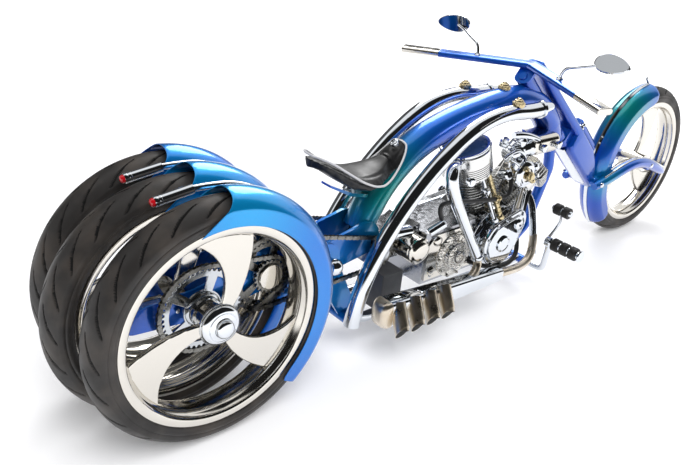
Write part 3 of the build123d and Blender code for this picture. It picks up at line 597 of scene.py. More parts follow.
def road_tyre(name, node, body, centre, radius, half, count):
    """Low road tyre with ribbed sidewalls and long curved grooves that sweep from the crown to the shoulders."""
    side, drop, bead = half - 4, 25, 284.0
    bend = (side ** 2 + drop ** 2) / (2 * drop)
    wall = [(half - 12, 268), (half - 10, bead), (half - 4.5, bead + 3), (half - 2.5, bead + 7), (half - 1, bead + 11),
            (half - 1.2, bead + 12.5), (half, bead + 14), (half, bead + 20), (half - 0.6, bead + 24),
            (half - 1.6, bead + 25), (half - 0.9, bead + 26), (half - 1.6, bead + 32), (half - 2.8, bead + 37)]
    reach = math.asin(side / bend)
    crown = []
    for i in range(59):
        a = reach - 2 * reach * i / 58
        crown.append((bend * math.sin(a), radius - bend + bend * math.cos(a)))
    section = np.array(wall + crown + [(-y, r) for y, r in reversed(wall)])
    turn = np.linspace(0, 2 * np.pi, count, endpoint=False)
    y = np.repeat(section[:, 0][None, :], count, 0)
    r = np.repeat(section[:, 1][None, :], count, 0)
    along = turn[:, None] * radius
    across = bend * np.arcsin(np.clip(y / bend, -1, 1))
    off = np.abs(across)
    hand = np.where(across > 0, 0.5, 0.0)
    cut = np.zeros_like(y)
    # Columns: grooves round the tyre, sweep along the tread, inner and outer end, half width, shift
    for number, sweep, inner, outer, wide, shift in ((22, 112, 5, 56, 2.5, 0.0), (22, 58, 22, 53, 2.1, 0.5)):
        pitch = 2 * math.pi * radius / number
        line = along - sweep * ((off - inner) / (outer - inner)).clip(0, 1) ** 0.8 + (hand + shift) * pitch
        gap = np.abs((line / pitch + 0.5) % 1 - 0.5) * pitch * math.cos(math.atan2(sweep, outer - inner) * 0.9)
        ends = smooth(inner, inner + 5, off) * (1 - smooth(outer - 6, outer, off))
        cut = np.maximum(cut, (1 - smooth(wide * 0.6, wide, gap)) * ends)
    groove_depth = 6.0
    r = r - groove_depth * cut
    x0, y0, z0 = centre
    x = x0 + r * np.cos(turn)[:, None]
    z = z0 + r * np.sin(turn)[:, None]
    verts = np.stack(((x - AXLE_TO_MIDDLE) * MM, (y0 + y) * MM, z * MM), -1).reshape(-1, 3)
    columns = section.shape[0]
    i, j = np.meshgrid(np.arange(count), np.arange(columns - 1), indexing="ij")
    n = (i + 1) % count
    faces = np.stack((i * columns + j, i * columns + j + 1, n * columns + j + 1, n * columns + j), -1).reshape(-1, 4)
    made = piece(name, RUBBER, (verts.tolist(), faces.tolist()), body=body, stands_for=(node,), sharp=50)
    # Painted shade: faces deep in the grooves take the near-black groove finish.
    made.data.materials.append(GROOVE_SHADE)
    made.data.polygons.foreach_set("material_index", (cut.reshape(-1)[faces].mean(1) > 0.3).astype(np.int32))


def arc(first, middle, last, count):
    """Points along the circle through three points, without the last."""
    (ax, ay), (bx, by), (cx, cy) = first, middle, last
    d = 2 * (ax * (by - cy) + bx * (cy - ay) + cx * (ay - by))
    a2, b2, c2 = ax * ax + ay * ay, bx * bx + by * by, cx * cx + cy * cy
    x = (a2 * (by - cy) + b2 * (cy - ay) + c2 * (ay - by)) / d
    y = (a2 * (cx - bx) + b2 * (ax - cx) + c2 * (bx - ax)) / d
    r, start = math.hypot(ax - x, ay - y), math.atan2(ay - y, ax - x)
    mid = (math.atan2(by - y, bx - x) - start) % (2 * math.pi)
    turn = (math.atan2(cy - y, cx - x) - start) % (2 * math.pi)
    turn = turn if mid < turn else turn - 2 * math.pi
    return [(x + r * math.cos(start + turn * i / count), y + r * math.sin(start + turn * i / count))
            for i in range(count)]


def blade_wheel(name, node, body, centre, half, hand, blade, hub, cap_face):
    """Polished three-blade wheel: deep stepped lip, bevelled blades, hub and, outside, a domed cap with a round nut."""
    w = half - 12
    place = Matrix.Translation(at(*centre)) @ Matrix.Diagonal((1, -hand, 1, 1))
    across = place @ Matrix.Rotation(math.pi / 2, 4, "X")
    lip = [(267, -w + 4), (266, -w + 1), (283, -w - 1), (285.5, -w - 3), (286, -w - 5), (285, -w - 7.2), (282, -w - 8),
           (272, -w - 7), (266, -w - 5.4), (263.5, -w - 3), (262.5, -w + 2), (257, -w + 9), (253, -w + 15),
           (250.6, -w + 24)]
    parts = [turned(lip + [(r, -h) for r, h in reversed(lip)] + [lip[0]], across, 160)]
    hub_r, rim_r, waist_r = 26, 253, 140
    outline = arc(polar(hub_r, 34), polar(waist_r, 56), polar(rim_r, 68), 16)
    outline += arc(polar(rim_r, 68), polar(rim_r, 88), polar(rim_r, 107), 14)
    outline += arc(polar(rim_r, 107), polar(waist_r, 85), polar(hub_r, 112), 16) + [polar(hub_r, 112)]
    for i in range(3):
        parts.append(plate(outline, [], *blade, 4.2, place @ Matrix.Rotation(-i * 2 * math.pi / 3, 4, "Y")))
    low, high = hub
    parts.append(turned([(15, low), (36, low), (38, low + 2), (38, high - 2), (36, high), (15, high)],
                        across @ Matrix.Diagonal((1, 1, -1, 1)), 64))
    piece(name, BILLET, *parts, body=body, stands_for=(node,), sharp=30)
    if cap_face is not None:
        out = place @ Matrix.Translation((0, cap_face * MM, 0)) @ Matrix.Rotation(math.pi / 2, 4, "X")
        steps = [(0, 0), (57, 0), (59, 2), (59.5, 6), (58.5, 9), (57.6, 9.6), (57.8, 11), (56, 16), (52, 20.5),
                 (47, 23.6), (43, 25), (41.6, 25.2), (40.8, 24.4), (39.6, 24.4), (38.6, 26), (30, 28.4), (27, 29.2),
                 (26, 30.5), (25.6, 33), (25.4, 37), (24, 40.5), (20, 43.4), (13, 44.8), (0, 45.2)]
        piece(f"{name}_cap_0", CHROME, turned(steps, out, 96), body=body, sharp=40)


right, left, middle = (0, -TRACK, REAR_R), (0, TRACK, REAR_R), (-SETBACK, 0, REAR_R)
ahead_wheel = (WHEELBASE, 0, FRONT_R)
# Columns: body, middle, radius, half width, facets round the tread
for body, centre, radius, half, facets in (
        ("rear_wheel_right", right, REAR_R, REAR_HALF, 1000), ("rear_wheel_left", left, REAR_R, REAR_HALF, 480),
        ("rear_wheel_middle", middle, REAR_R, REAR_HALF, 640), ("front_wheel", ahead_wheel, FRONT_R, FRONT_HALF, 480)):
    road_tyre(f"tread_{body}", body.replace("_wheel", "_tyre"), body, centre, radius, half, facets)
# Faces of the blades and of the hub, and the seat of the cap
outer_build, plain_build = ((-22, -6), (-20, 63), -14), ((-9, 9), (-55, 55), None)
blade_wheel("wheel_right", "rear_rim_right", "rear_wheel_right", right, REAR_HALF, -1, *outer_build)
blade_wheel("wheel_left", "rear_rim_left", "rear_wheel_left", left, REAR_HALF, 1, *outer_build)
blade_wheel("wheel_middle", "rear_rim_middle", "rear_wheel_middle", middle, REAR_HALF, -1, *plain_build)
blade_wheel("wheel_front", "front_rim", "front_wheel", ahead_wheel, FRONT_HALF, -1, *plain_build)


# Fenders

def fender_shell(name, node, body, centre, radius, half, rear_edge, front_edge, steps):
    """Thin arched shell over a wheel: straight skirts, round crown, and shaped ends that depend on the radius."""
    wide, crown, bend, skirt = half + 7, radius + 20, radius - 18, 288.0
    arch = (wide ** 2 + (crown - bend) ** 2) / (2 * (crown - bend))
    section = [(wide, skirt + (bend - skirt) * i / 7) for i in range(7)]
    reach = math.atan2(wide, arch - (crown - bend))
    for i in range(33):
        a = reach - 2 * reach * i / 32
        section.append((arch * math.sin(a), crown - arch + arch * math.cos(a)))
    section += [(-y, r) for y, r in reversed(section[:7])]
    x0, y0, z0 = centre
    count = len(section)
    verts = []
    for k in range(steps + 1):
        for y, r in section:
            first, last = rear_edge(r), front_edge(r)
            a = math.radians(first + (last - first) * k / steps)
            verts.append(at(x0 + r * math.cos(a), y0 + y, z0 + r * math.sin(a)))
    faces = [(k * count + i, k * count + i + 1, (k + 1) * count + i + 1, (k + 1) * count + i)
             for k in range(steps) for i in range(count - 1)]
    made = piece(name, PAINT, (verts, faces), body=body, stands_for=(node,), sharp=60)
    shell = made.modifiers.new("wall", "SOLIDIFY")
    shell.thickness, shell.offset, shell.use_even_offset = 2.6 * MM, -1, False
    edge = made.modifiers.new("rolled_edge", "BEVEL")
    edge.width, edge.segments, edge.limit_method = 0.9 * MM, 2, "ANGLE"


def rear_cut(r):
    """Rear edge in degrees: square across the crown, then sweeping back to the skirts."""
    return 86.6 + 20.7 * (max(0.0, 370 - r) / 87) ** 1.9


def tip_cut(r):
    """Lower front tip in degrees, rounded at its skirts."""
    return -46.1 - (370 - r) * 0.072 + 9 * max(0.0, (300 - r) / 12) ** 2


for side, centre in (("right", right), ("left", left), ("middle", (-8, 0, REAR_R + 6))):
    fender_shell(f"shell_{side}", f"rear_fender_{side}", "chassis", centre, REAR_R, REAR_HALF, rear_cut, tip_cut, 72)
fender_shell("shell_front", "front_fender", "steering", ahead_wheel, FRONT_R, FRONT_HALF,
             lambda r: 226 - max(0, (302 - r)) * 0.5, lambda r: 96 + max(0, (302 - r)) * 0.4, 64)


# Drive: roller chains on toothed, windowed sprockets

def belt(near, far, pitch):
    """Even points round a belt that wraps two circles given as (x, z, radius)."""
    (xa, za, ra), (xb, zb, rb) = near, far
    reach = math.hypot(xb - xa, zb - za)
    turn = math.atan2(zb - za, xb - xa)
    swing = math.acos((ra - rb) / reach)
    run = reach * math.sin(swing)
    # Columns: circle, first angle, length, whether the stretch is straight
    legs = [(near, turn + swing, run, True), (far, turn + swing, rb * 2 * swing, False), (far, turn - swing, run, True),
            (near, turn - swing, ra * (2 * math.pi - 2 * swing), False)]
    total = sum(leg[2] for leg in legs)
    count = 2 * round(total / pitch / 2)
    points = []
    for i in range(count):
        d = i * total / count
        for (x, z, r), a, length, straight in legs:
            if d < length:
                break
            d -= length
        slide = d if straight else 0.0
        a = a if straight else a - d / r
        points.append((x + r * math.cos(a) + slide * math.sin(a), z + r * math.sin(a) - slide * math.cos(a)))
    return points


def roller_chain(name, node, near, far, middle):
    """Roller chain on both sides: waisted plates, inner and outer pairs by turns, on pins and rollers."""
    end_r, waist, pin_r, roller_r = 6.8, 4.6, 2.6, 4.9
    points = belt(near, far, CHAIN_PITCH)
    parts = []
    for i, (xa, za) in enumerate(points):
        xb, zb = points[(i + 1) % len(points)]
        length, lean = math.hypot(xb - xa, zb - za), math.atan2(zb - za, xb - xa)
        shape = [(length + end_r * math.cos(a), end_r * math.sin(a)) for a in (-1.9, -0.95, 0, 0.95, 1.9)]
        shape += [(length / 2, waist)]
        shape += [(end_r * math.cos(a), end_r * math.sin(a)) for a in (1.24, 2.2, 3.14, 4.08, 5.04)]
        shape += [(length / 2, -waist)]
        shape = [(xa + u * math.cos(lean) - v * math.sin(lean), za + u * math.sin(lean) + v * math.cos(lean))
                 for u, v in shape]
        near_face, far_face = (4.5, 6.0) if i % 2 else (2.9, 4.4)
        for side in (-1, 1):
            parts.append(prism(shape, middle + side * near_face, middle + side * far_face))
        parts.append(prism(ring_points(xa, za, pin_r, 8), middle - 6.6, middle + 6.6))
        parts.append(prism(ring_points(xa, za, roller_r, 8), middle - 2.8, middle + 2.8))
    one = joined(*parts)
    piece(name, CHAIN, one, mirrored(one), stands_for=(node,), sharp=40)


def tooth_line(radius):
    """Edge of a sprocket for the chain: short flat-tipped teeth."""
    teeth = round(2 * math.pi * (radius + 2) / CHAIN_PITCH)
    return [polar(r, 360 * (i + share) / teeth) for i in range(teeth)
            for share, r in ((-0.32, radius - 7), (-0.12, radius - 0.5), (0.12, radius - 0.5), (0.32, radius - 7))]


def windows(inner, outer):
    """Five openings between two radii, each narrower at its inner end."""
    openings = []
    for first in range(9, 360, 72):
        last = first + 54
        openings.append([polar(outer, first + (last - first) * i / 10) for i in range(11)] + [
            polar(inner, last - 4 + (first + 8 - last) * i / 10) for i in range(11)])
    return openings


roller_chain("wheel_chain_links", "wheel_chains", (0, REAR_R, 124.5), (JACK_X, JACK_Z, 59), -94)
roller_chain("input_chain_links", "input_chains", (JACK_X, JACK_Z, 110.5), (648, 338, 50.5), -78.5)
for hand, name, centre in ((1, "right", right), (-1, "left", left)):
    place = Matrix.Translation(at(*centre)) @ Matrix.Diagonal((1, hand, 1, 1))
    inward = place @ Matrix.Rotation(-math.pi / 2, 4, "X")
    parts = [plate(tooth_line(118), windows(56, 97) + [ring_points(0, 0, 15)], 64, 71, 1.0, place),
             turned([(15, 38), (42, 38), (44, 40), (44, 58), (50, 60), (52, 62), (52, 64), (15, 64)], inward, 64)]
    for i in range(5):
        spin = inward @ Matrix.Rotation(2 * math.pi * i / 5, 4, "Z") @ Matrix.Translation((47 * MM, 0, 64 * MM))
        parts.append(cap_screw(4.5, spin @ Matrix.Rotation(math.pi, 4, "X")))
    piece(f"wheel_sprocket_{name}", NICKEL, *parts, body=f"rear_wheel_{name}",
                  stands_for=(f"rear_sprocket_{name}",), sharp=30)
hub, jack_axis = Matrix.Translation(at(JACK_X, 0, JACK_Z)), crosswise(JACK_X, 0, JACK_Z)
jack = joined(plate(tooth_line(104), windows(44, 84) + [ring_points(0, 0, 14)], -82, -75, 1.0, hub),
              plate(tooth_line(52), [ring_points(0, 0, 14)], -97.5, -90.5, 1.0, hub),
              turned([(14, 70), (14, 97), (30, 97.5), (0, 98)], jack_axis, 48))
piece("jackshaft_wheels", CHAIN, jack, mirrored(jack), stands_for=("jackshafts",), sharp=30)
face = turned([(30, 97), (37, 98), (38.5, 100), (38.5, 103), (36.5, 105.4), (30, 106), (0, 106)], jack_axis, 64)
piece("jackshaft_faces", BILLET, face, mirrored(face), sharp=30)


# Seat

seat_line = np.array([
    # x, half width, height of the welt, height at the middle
    (396, 8, 690, 690), (404, 34, 688, 682), (420, 54, 682, 664), (445, 70, 668, 645), (480, 85, 644, 623),
    (530, 100, 611, 611), (575, 105, 591, 608), (620, 98, 582, 612), (660, 80, 584, 620), (690, 66, 593, 632),
    (720, 56, 617, 646), (745, 45, 643, 665), (765, 30, 665, 680), (777, 9, 681, 686)], float)
seat_x = np.linspace(396, 777, 90)
seat_half, seat_welt, seat_mid = (np.convolve(np.pad(np.interp(seat_x, seat_line[:, 0], seat_line[:, k]), 3, "edge"),
                                              np.ones(7) / 7, "valid") for k in (1, 2, 3))
BEND_X, BEND_Z, BEND_R, TUBE_R = 1035.8, 254.4, 440.3, 52.0


def off_tube(x, y, z, gap):
    """Push a drawing point out of the backbone tube, whose middle line bends round one circle there."""
    out = math.hypot(x - BEND_X, z - BEND_Z)
    rise, reach = out - BEND_R, math.hypot(out - BEND_R, y)
    if reach >= TUBE_R + gap or reach < 1:
        return x, y, z
    grow = (TUBE_R + gap) / reach
    scale = (BEND_R + rise * grow) / out
    return BEND_X + (x - BEND_X) * scale, y * grow, BEND_Z + (z - BEND_Z) * scale


def seat_cut():
    """Leather and foam as cut: dished behind, draped over the tube in front, with a thick rolled side."""
    rings = []
    for x, half, welt, mid in zip(seat_x, seat_half, seat_welt, seat_mid):
        half = max(half - 5, 3)
        top = [(x, v * half, mid - 4 + (welt - mid) * abs(v) ** 2.2 - 5 * max(0, abs(v) - 0.86) / 0.14)
               for v in np.linspace(-1, 1, 25)]
        base = [(x, v * (half - 3), max(welt, mid - 14) - 34 + 8 * abs(v) ** 4) for v in np.linspace(1, -1, 17)]
        rings.append([at(*off_tube(*point, 15)) for point in top] + [at(*off_tube(*point, 3)) for point in base])
    return lofted(rings)


def draw_in(points):
    """Sewn channels of the inner panel, 3 mm deep, drawn into the stuffed seat."""
    x = points[:, 0] / MM + AXLE_TO_MIDDLE
    half, welt, mid = (np.interp(x, seat_x, line) for line in (seat_half, seat_welt, seat_mid))
    v = np.abs(points[:, 1] / MM) / half
    top = smooth(-16, -6, points[:, 2] / MM - (mid + (welt - mid) * v ** 2.2))
    side = np.exp(-(((v - 0.62) * half) / 4.5) ** 2) * smooth(440, 450, x)
    back = np.exp(-((x - 445 - 14 * v ** 2) / 5) ** 2) * (1 - smooth(0.58, 0.66, v))
    nose = np.exp(-((x - 706) / 5) ** 2) * (1 - smooth(0.58, 0.66, v))
    points[:, 2] -= 3.2 * MM * top * np.maximum(np.maximum(side, back), nose)
    return points


def stuffed(name, shape, made, body, node, swell):
    """Cushion: the cut shape is skinned evenly, blown up by a cloth simulation, then drawn in along its seams."""
    mesh = bpy.data.meshes.new(name)
    mesh.from_pydata([tuple(v) for v in shape[0]], [], shape[1])
    face_outward(mesh)
    rough = bpy.data.objects.new(f"{name}_cut", mesh)
    scene.collection.objects.link(rough)
    skin = rough.modifiers.new("skin", "REMESH")
    skin.mode, skin.voxel_size = "VOXEL", 5 * MM
    even = bpy.data.meshes.new_from_object(rough.evaluated_get(bpy.context.evaluated_depsgraph_get()))
    rough.modifiers.clear()
    rough.data = even
    start = np.empty(len(even.vertices) * 3)
    even.vertices.foreach_get("co", start)
    start = start.reshape(-1, 3)
    cloth = rough.modifiers.new("stuffing", "CLOTH")
    cloth.settings.use_pressure, cloth.settings.uniform_pressure_force = True, 4.0
    cloth.settings.effector_weights.gravity = 0.0
    cloth.collision_settings.use_collision = False
    for moment in range(1, 21):
        scene.frame_set(moment)
    end = np.empty(start.size)
    rough.evaluated_get(bpy.context.evaluated_depsgraph_get()).data.vertices.foreach_get("co", end)
    move = end.reshape(-1, 3) - start
    far = np.linalg.norm(move, axis=1, keepdims=True)
    start = start + move * np.minimum(1, swell * MM / np.maximum(far, 1e-9))
    rough.modifiers.clear()
    scene.frame_set(1)
    even.vertices.foreach_set("co", draw_in(start).ravel())
    bpy.data.objects.remove(rough)
    cushion = dress(name, even, made, body, (node,), 80)
    fine = cushion.modifiers.new("fine", "SUBSURF")
    fine.levels = fine.render_levels = 1


stuffed("seat_cushion", seat_cut(), HIDE, "chassis", "seat", 7)
welt_side = list(zip(seat_x[::3], seat_half[::3], seat_welt[::3]))
welt_line = [(x, -h, z - 2) for x, h, z in welt_side] + [(x, h, z - 2) for x, h, z in reversed(welt_side)]
piece("seat_welt", PIPING, tube([off_tube(*point, 11) for point in welt_line + welt_line[:2]], 3.4, 3, 3))
button = axis_matrix(at(*off_tube(738, -6, 662, 24)), (-0.56, -0.1, 0.82))
piece("seat_button", CHROME,
      turned([(0, 5), (5, 5.4), (6.5, 4.6), (7.5, 6.6), (9.5, 8), (11.5, 7), (12.5, 4), (12.5, -6)], button, 32))
edged("seat_bracket", 2.0, PAINT)


# Steering

def fork_ring(s, low, high, half, corner):
    """Rounded ring square to the steering axis."""
    return rounded_ring(low, high, half, corner, lambda n, y: at(*steer(s, n, y)))


# Columns: place along the steering axis, rear face, front face, half width, corner radius
fork_rows = ((-2, 50, 80, 30, 12), (2, 47, 84, 36, 14), (20, 47, 84, 38, 14), (120, 47, 83, 40, 14),
             (260, 47, 83, 44, 14), (400, 46, 84, 50, 15), (436, 40, 84, 53, 15), (446, -10, 84, 54, 15),
             (470, -24, 84, 55, 16), (600, -25, 84, 55, 16), (660, -25, 68, 54, 16), (705, -25, 50, 52, 16),
             (750, -24, 26, 48, 14), (775, -22, 6, 42, 10), (785, -18, -6, 34, 5))
yokes = [lofted([fork_ring(s, -26, 56, 34, 24) for s in span]) for span in ((-14, -3), (403, 438))]
stem = axis_matrix(at(*steer(-20, 0)), (math.sin(RAKE), 0, -math.cos(RAKE)))
yokes.append(turned([(0, 0), (14, 0), (16, 3), (16, 8), (14, 10), (14, 452), (0, 452)], stem, 32))
pivot = steer(752, 0)
yokes.append(turned([(0, -63), (20, -63), (20, 63), (0, 63)], crosswise(pivot[0], 0, pivot[2]), 32))
fork = piece("fork_blade", PAINT, lofted([fork_ring(*row) for row in fork_rows]), *yokes, body="steering",
             stands_for=("fork_body",), sharp=40)
runner = [[at(*steer(s, n, y)) for n, y in ((-25, -26), (-29, -24), (-30, 0), (-29, 24), (-25, 26))]
          for s in (452, 520, 600, 680, 736)]
piece("fork_runner", CHROME, lofted(runner), body="steering")
knob = axis_matrix(at(*steer(455, 84, -30)), (math.cos(RAKE), -0.35, math.sin(RAKE)))
piece("fork_knob", CHROME, turned([(0, 26), (7, 26), (9, 24), (9, 18), (6, 16), (6, 12), (13, 10), (14, 7), (14, 2),
                                   (12, 0)], knob, 24), body="steering")
for node, width, made in (("handlebar", 2.0, PAINT), ("grips", 2.0, BILLET), ("shock", 1.5, PAINT)):
    edged(node, width, made)
arm_path = [(pivot[0] - 22, 318), (pivot[0] + 40, 326), (2090, 356), (2180, 374), (2262, 372), (2350, 350), (2440, 310),
            (2505, 285), (2522, 276)]
arms, runners = [], []
for side in (-1, 1):
    outward = (0, side, 0)
    arms.append(tube([(x, side * 74, z) for x, z in arm_path], [16, 24, 25, 25, 25, 25, 23, 17, 8], 4, 8))
    arms.append(turned([(0, 50), (13, 50), (14, 63), (24, 64), (26, 66), (26, 84), (24, 87), (0, 88)],
                       axis_matrix(at(*ahead_wheel), outward), 48))
    arms.append(turned([(0, 57), (12, 57), (12, 64), (0, 64)],
                       axis_matrix(at(WHEELBASE - 303, 0, FRONT_R + 3), outward), 20))
    runners.append(tube([(x, side * 78, z + 22) for x, z in arm_path[1:-1]], 5.5, 4, 4))
    for end in (pivot, ahead_wheel):
        runners.append(turned([(0, 90), (9, 90), (11, 93), (11, 98), (8, 101), (0, 102)],
                              axis_matrix(at(*end), outward), 24))
arms.append(turned([(0, -64), (14, -64), (14, 64), (0, 64)], crosswise(*ahead_wheel), 24))
piece("link_arms", PAINT, *arms, body="steering", stands_for=("front_links",), sharp=40)
piece("link_runners", CHROME, *runners, body="steering")

drop = [(62 * math.cos(a) - 4, (31 + 7 * math.cos(a + 3.14)) * math.sin(a))
        for a in (2 * math.pi * i / 40 for i in range(40))]


def head_rings(face, rows):
    """Skin over drop-shaped rings of a mirror head, each at a depth and a share of the full size."""
    return lofted([[face @ Vector((x * MM, y * share * MM, z * share * MM)) for y, z in drop] for x, share in rows])


shells, glasses, stalks = [], [], []
# Columns: side, tilt and turn of the head as the rider left it, in degrees
for side, tilt, turn in ((-1, 34, 0), (1, -4, 26)):
    x, y, z = STEER_X + 25 - 213 * 0.41, side * 180.4, STEER_Z + 48 - 23 * 0.41
    face = (Matrix.Translation(at(STEER_X - 35, side * 345, STEER_Z + 132))
            @ Matrix.Rotation(math.radians(tilt), 4, "Y") @ Matrix.Rotation(math.radians(turn), 4, "Z")
            @ Matrix.Diagonal((1, side, 1, 1)))
    shells.append(head_rings(face, ((-5, 1.0), (-6.5, 0.97), (-5, 0.94), (4, 1.0), (9, 0.9), (12, 0.65), (13, 0.3))))
    glasses.append(head_rings(face, ((-5.6, 0.95), (-5.0, 0.955))))
    stalk_run = [(x, y, z), (x + 2, y, z + 46), (x + 10, y + side * 52, z + 62),
                 (STEER_X - 26, side * 290, STEER_Z + 118), (STEER_X - 26, side * 330, STEER_Z + 130)]
    stalks.append(tube(stalk_run, 5.5, 3, 6))
    stalks.append(turned([(0, -10), (12, -10), (12, 14), (9, 17), (0, 18)], axis_matrix(at(x, y, z), (0, 0, 1)), 24))
piece("mirror_shells", CHROME, *shells, body="steering", stands_for=("mirrors",), sharp=40)
piece("mirror_glasses", GLASS, *glasses, body="steering")
piece("mirror_stalks", CHROME, *stalks, body="steering")


# Engine

def cylinder_axis(lean):
    """Matrix at the crank with Z along a cylinder that leans by an angle in degrees."""
    return axis_matrix(at(CRANK_X, 0, CRANK_Z), (math.sin(math.radians(lean)), 0, math.cos(math.radians(lean))))


def finned(first, last, core, fin, pitch):
    """Profile of a barrel with thin round-edged cooling fins."""
    profile = [(0, first), (core, first)]
    h = first + 6
    while h + 5 < last:
        profile += [(core, h), (fin - 1, h + 0.3), (fin, h + 1.2), (fin, h + 2.6), (fin - 1, h + 3.5), (core, h + 3.8)]
        h += pitch
    return profile + [(core, last), (0, last)]


def lobe_outline(xa, za, ra, xb, zb, rb, count=24):
    """Outline round two circles."""
    turn = math.atan2(zb - za, xb - xa)
    swing = math.acos((ra - rb) / math.hypot(xb - xa, zb - za))
    line = []
    for x, z, r, first, sweep in ((xa, za, ra, turn + swing, 2 * math.pi - 2 * swing),
                                  (xb, zb, rb, turn - swing, 2 * swing)):
        line += [(x + r * math.cos(first + sweep * i / count), z + r * math.sin(first + sweep * i / count))
                 for i in range(count + 1)]
    return line


def box_outline(half_x, half_z, corner):
    """Rounded rectangle about the origin."""
    return rounded_ring(-half_x, half_x, half_z, corner, lambda x, z: (x, z))


def fitting(r, length):
    """Profile of a pipe union: collar, neck and nut."""
    return [(0, 0), (r * 0.8, 0), (r, 2), (r, 6), (r * 0.65, 7), (r * 0.65, 10), (r * 1.1, 11), (r * 1.1, 18),
            (r * 0.7, 20), (r * 0.7, length), (0, length)]


def plug(r, length, tip):
    """Profile of a plain round can with a chamfered foot and a tapered tip."""
    return [(0, 0), (r - 2, 0), (r, 3), (r, length - 7), (tip, length - 1), (0, length)]


for name, node, lean, last in (("rear_barrel", "rear_cylinder", REAR_LEAN, 268),
                               ("front_barrel", "front_cylinder", FRONT_LEAN, 245)):
    piece(name, CAST, turned(finned(112, last, 64, 82, 11.5), cylinder_axis(lean), 72), stands_for=(node,), sharp=30)
rear_axis = cylinder_axis(REAR_LEAN)
drum = [(0, 268), (80, 268), (90, 269), (92.5, 271)]
for h in range(275, 323, 8):
    drum += [(93, h), (93, h + 4.8), (88, h + 5.2), (88, h + 7.8)]
drum += [(93, 323), (93, 360), (94, 361), (94, 370), (92, 372), (0, 372)]
piece("drum_head", SATIN, turned(drum, rear_axis, 96), stands_for=("rear_head",), sharp=30)
piece("drum_rim", CHROME, turned([(77, 372), (86, 372), (89.5, 373), (90.5, 376), (89, 380), (85, 382), (79, 381.4),
                                  (77, 379)], rear_axis, 96), sharp=40)
piece("drum_lid", LID, turned([(0, 388), (40, 387), (66, 384.5), (77.5, 381.6), (77.5, 372), (0, 372)], rear_axis, 96),
      stands_for=("rear_head_lid",), sharp=40)
tilt = math.radians(FRONT_LEAN)
thick, sideways = Vector((math.cos(tilt), 0, -math.sin(tilt))), Vector((0, 1, 0))
cover = (Matrix.Translation(at(CRANK_X + 32 + 290 * math.sin(tilt), -8, CRANK_Z - 5 + 290 * math.cos(tilt)))
         @ Matrix((sideways, thick, sideways.cross(thick))).transposed().to_4x4())
rise = 1 if (cover.to_3x3() @ Vector((0, 0, 1))).z > 0 else -1
ribs = [turned([(0, 245), (78, 245), (80, 247), (80, 286), (77, 289), (0, 290)], cylinder_axis(FRONT_LEAN), 64),
        plate(box_outline(45, 20, 8), [], -68, 68, 3, cover @ Matrix.Translation((0, 0, rise * 20 * MM)))]
for off in range(-65, 66, 13):
    ribs.append(plate(box_outline(79 - abs(off) * 0.32, 29 - abs(off) * 0.1, 12), [], off - 2.6, off + 2.6, 1.6,
                      cover @ Matrix.Translation((0, 0, rise * 26 * MM))))
piece("front_rocker_cover", SATIN, *ribs, stands_for=("front_head",), sharp=30)
for node, width, made in (("intake", 1.5, BILLET), ("crankcase", 4.0, CHROME), ("gearbox", 3.0, CASE)):
    edged(node, width, made)
cam = [plate(lobe_outline(CRANK_X, CRANK_Z, 96, 1292, 318, 52), [], -143, -105, 5),
       plate(lobe_outline(CRANK_X, CRANK_Z, 78, 1290, 316, 36), [], -149, -140, 4)]
for i in range(9):
    u, v = polar(87, 40 * i)
    if math.hypot(CRANK_X + u - 1292, CRANK_Z + v - 318) > 44:
        cam.append(cap_screw(5.5, crosswise(CRANK_X + u, -142, CRANK_Z + v)))
cam.append(turned([(0, 0), (30, 0), (32, 2), (32, 6), (26, 9), (24, 7), (0, 8)], crosswise(CRANK_X, -148, CRANK_Z), 48))
cam.append(turned([(0, 0), (18, 0), (20, 2), (20, 6), (12, 10), (0, 11)], crosswise(1290, -148, 316), 40))
piece("timing_cover", CHROME, *cam, stands_for=("cam_cover",), sharp=30)
rosette = [turned([(0, 42), (16, 42), (22, 38), (26, 32), (50, 31), (53, 28), (56, 17), (80, 16), (86, 13), (88, 6),
                   (88, 0)], crosswise(GEAR_X, -92, GEAR_Z), 72)]
for i in range(10):
    u, v = polar(80, 36 * i)
    rosette.append(cap_screw(5.5, crosswise(GEAR_X + u, -107, GEAR_Z + v)))
piece("gearbox_rosette", CARVED, *rosette, sharp=30)
piece("starter_can", BILLET, turned([(0, 0), (44, 0), (46, 2), (46, 78), (44, 80), (44, 84), (46, 86), (46, 90),
                                     (41, 93), (38, 95), (36, 99), (30, 103), (14, 105), (0, 105.4)],
                                    crosswise(770, -53, 338), 64), stands_for=("starter_drum",), sharp=30)
bolts = [cap_screw(6.5, crosswise(*place)) for place in (
    (890, -95, 190), (890, -95, 335), (1098, -95, 335), (650, -58, 370), (740, -58, 300), (830, -58, 372),
    (1130, -105, 180), (1300, -105, 180), (1340, -105, 250), (1120, -105, 340))]
for i in range(14):
    a = 2 * math.pi * i / 14
    x, z, r = (CRANK_X, CRANK_Z, 98) if math.cos(a) > -0.2 else (930, 265, 72)
    bolts.append(cap_screw(5.5, axis_matrix(at(x + r * math.cos(a), 149, z + r * math.sin(a)), (0, 1, 0))))
piece("case_screws", CHROME, *bolts, sharp=30)
edged("primary_cover", 8.0, CHROME)
shields = [prism([(862, 178), (1108, 178), (1108, 300), (1070, 346), (900, 346), (862, 310)], -101, -95),
           prism([(640, 298), (842, 298), (842, 352), (800, 378), (640, 378)], -64, -58)]
for x, y, z, r in ((905, -99, 322, 18), (1070, -99, 318, 14), (892, -99, 210, 16), (690, -60, 345, 22)):
    shields.append(turned([(0, 0), (r, 0), (r, 6), (r - 3, 9), (r * 0.5, 11), (0, 11.5)], crosswise(x, y, z), 32))
piece("gearbox_shields", BILLET, *shields, sharp=30)
